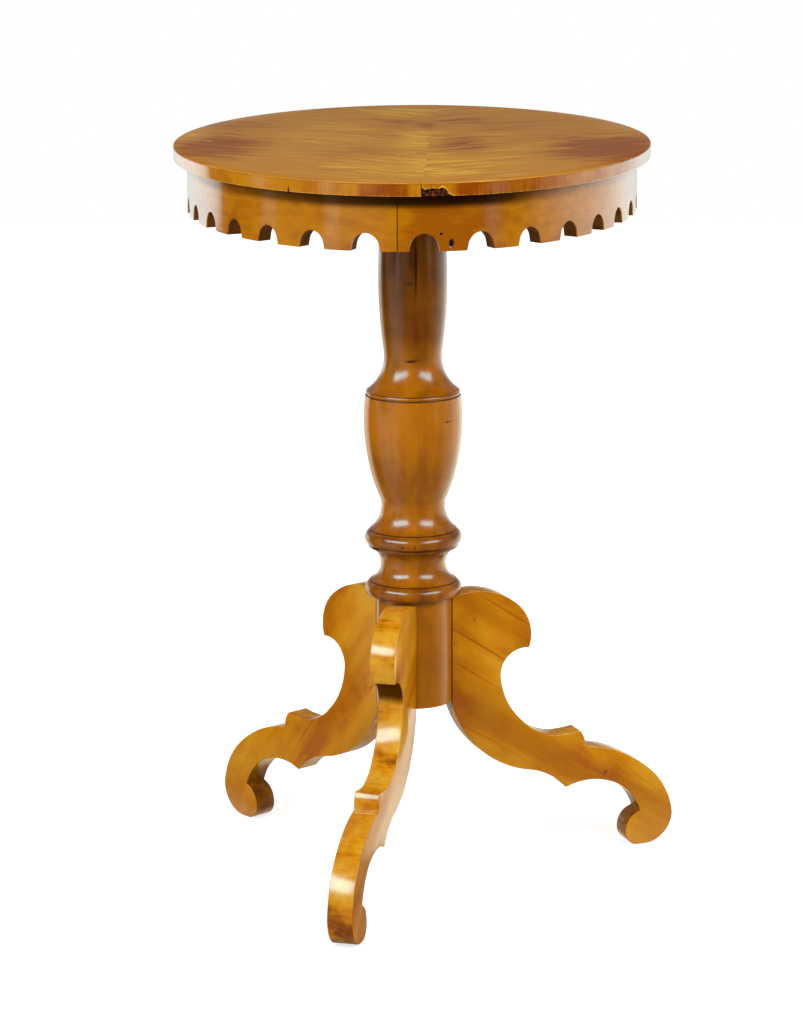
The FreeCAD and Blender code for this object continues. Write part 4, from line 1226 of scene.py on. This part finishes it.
def floor_material(front):
    """Pale floor that fades to the white background and keeps the table's shadow; the
    polish mirrors the white room in it."""
    material = bpy.data.materials.new("pale floor")
    material.use_nodes = True
    tree = material.node_tree
    tree.nodes.clear()
    rays = shader(tree, "LightPath").outputs
    glossy = rays["Is Glossy Ray"]
    across, along, _ = axes_of(tree, object_place(tree))
    away = maths(tree, "SQRT", plus(tree, times(tree, across, across), times(tree, along, along)))
    seen = times(tree, step(tree, away, *FLOOR_GLOW), seen_plainly(tree, rays))
    near = mirrored_room(tree, across, along, front, MIRRORED_NEAR)
    # Painted shadow of the table in the mirrored floor: less brightness under it
    least = maths(tree, "MAXIMUM", times(tree, near, UNDER_SHARE), UNDER_LEAST)
    near = between(tree, step(tree, away, *UNDER_REACH), least, near)
    far = step(tree, away, NEAR_FLOOR, NEAR_FLOOR + 0.1)
    room = between(tree, far, near, mirrored_room(tree, across, along, front, MIRRORED))
    tinted = blended(tree, glossy, (1, 1, 1), blended(tree, far, NEAR_TINT, MIRROR_TINT))
    strength = plus(tree, seen, times(tree, room, glossy))
    glow = feed(tree, shader(tree, "Emission"), Color=tinted, Strength=strength)
    matt = feed(tree, shader(tree, "BsdfDiffuse"), Color=(0.55, 0.55, 0.55, 1))
    none = feed(tree, shader(tree, "BsdfDiffuse"), Color=(0, 0, 0, 1))
    lit = feed(tree, shader(tree, "MixShader"), s0=glossy, s1=matt.outputs[0], s2=none.outputs[0])
    both = feed(tree, shader(tree, "AddShader"), s0=lit.outputs[0], s1=glow.outputs[0])
    feed(tree, shader(tree, "OutputMaterial"), Surface=both.outputs[0])
    return material


def white_world(ambient, front):
    """White behind everything, a soft even light on the table, and in its polish the
    white room, which darkens overhead."""
    world = bpy.data.worlds.new("white studio")
    world.use_nodes = True
    tree = world.node_tree
    tree.nodes.clear()
    rays = shader(tree, "LightPath").outputs
    glossy = rays["Is Glossy Ray"]
    across, along, up = axes_of(tree, shader(tree, "TexCoord").outputs["Generated"])
    mirrored = mirrored_room(tree, across, along, front, MIRRORED)
    mirrored = times(tree, mirrored, step(tree, up, *OVERHEAD))
    strength = between(tree, glossy, ambient, mirrored)
    strength = between(tree, seen_plainly(tree, rays), strength, 1.0)
    tinted = blended(tree, glossy, (1, 1, 1), MIRROR_TINT)
    light = feed(tree, shader(tree, "Background"), Color=tinted, Strength=strength)
    feed(tree, shader(tree, "OutputWorld"), Surface=light.outputs[0])
    return world


class TABLE_OT_studio(bpy.types.Operator):
    """Studio: camera, softboxes, white world and pale floor"""
    bl_idname = "side_table.studio"
    bl_label = "Studio"

    def execute(self, context):
        scene, studio = context.scene, context.scene.table_studio
        scene.view_settings.view_transform = "Standard"
        camera = bpy.data.objects.new("camera", bpy.data.cameras.new("camera"))
        scene.collection.objects.link(camera)
        camera.data.lens = studio.lens
        camera.data.sensor_width = 36.0
        camera.data.clip_end = 50.0
        camera.location = studio.eye
        facing = Euler((math.pi / 2 + studio.pitch, 0.0, studio.heading)).to_matrix()
        camera.rotation_euler = (facing @ Matrix.Rotation(studio.roll, 3, "Z")).to_euler()
        scene.camera = camera
        front = math.atan2(studio.eye[1], studio.eye[0])
        target = Vector((0.0, 0.0, 0.5))
        for name, bearing, rise, distance, width, height, brightness in SOFTBOXES:
            gleams = name.startswith("gleam")
            lamp = bpy.data.lights.new(name, "AREA")
            lamp.shape = "RECTANGLE"
            lamp.size, lamp.size_y = width, height
            lamp.energy = brightness * math.pi * width * height
            lamp.color = GLEAM_TINT if gleams else (1, 1, 1)
            angle, tilt = front + math.radians(bearing), math.radians(rise)
            way = Vector((math.cos(angle) * math.cos(tilt), math.sin(angle) * math.cos(tilt), math.sin(tilt)))
            box = bpy.data.objects.new(name, lamp)
            scene.collection.objects.link(box)
            box.location = target + way * distance
            box.rotation_euler = way.to_track_quat("Z", "Y").to_euler()
            box.visible_camera = False
            box.visible_glossy, box.visible_diffuse = gleams, not gleams
        scene.world = white_world(studio.ambient, front)
        angle = np.linspace(0, FULL_TURN, FLOOR_POINTS, endpoint=False)
        radius = np.array([*FLOOR_RINGS, studio.floor_radius])[:, None]
        points = np.stack([radius * np.cos(angle), radius * np.sin(angle), 0 * radius * angle], axis=-1)
        faces = sheet_faces(len(radius), FLOOR_POINTS, close_columns=True)
        mesh = new_mesh("floor", points, faces, (np.arange(FLOOR_POINTS),))
        mesh.materials.append(floor_material(front))
        floor = bpy.data.objects.new("floor", mesh)
        scene.collection.objects.link(floor)
        return {"FINISHED"}


class TABLE_PT_panel(bpy.types.Panel):
    """Lists the pieces of the table"""
    bl_idname = "TABLE_PT_panel"
    bl_label = "Oval side table"
    bl_space_type = "VIEW_3D"
    bl_region_type = "UI"
    bl_category = "Side Table"

    def draw(self, context):
        for kind in PIECES:
            self.layout.operator(kind.bl_idname)
        for table in SETTINGS:
            box = self.layout.box()
            group = getattr(context.scene, table)
            for key in SETTINGS[table].__annotations__:
                box.prop(group, key)


PIECES = (
    TABLE_OT_studio, TABLE_OT_column, TABLE_OT_legs, TABLE_OT_top, TABLE_OT_bands, TABLE_OT_frieze,
    TABLE_OT_hidden,
)
SETTINGS = {
    "table_top": TopSizes, "table_stand": StandSizes, "table_colours": WoodColours,
    "table_studio": StudioSettings,
}


def register():
    for group in SETTINGS.values():
        bpy.utils.register_class(group)
    for table, group in SETTINGS.items():
        setattr(bpy.types.Scene, table, PointerProperty(type=group))
    for kind in PIECES:
        bpy.utils.register_class(kind)
    bpy.utils.register_class(TABLE_PT_panel)


def unregister():
    bpy.utils.unregister_class(TABLE_PT_panel)
    for kind in reversed(PIECES):
        bpy.utils.unregister_class(kind)
    for table in SETTINGS:
        delattr(bpy.types.Scene, table)
    for group in reversed(SETTINGS.values()):
        bpy.utils.unregister_class(group)


def main():
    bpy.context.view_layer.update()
    register()
    for kind in PIECES:
        family, name = kind.bl_idname.split(".")
        getattr(getattr(bpy.ops, family), name)()
    bpy.context.view_layer.update()


if __name__ == "__main__":
    main()
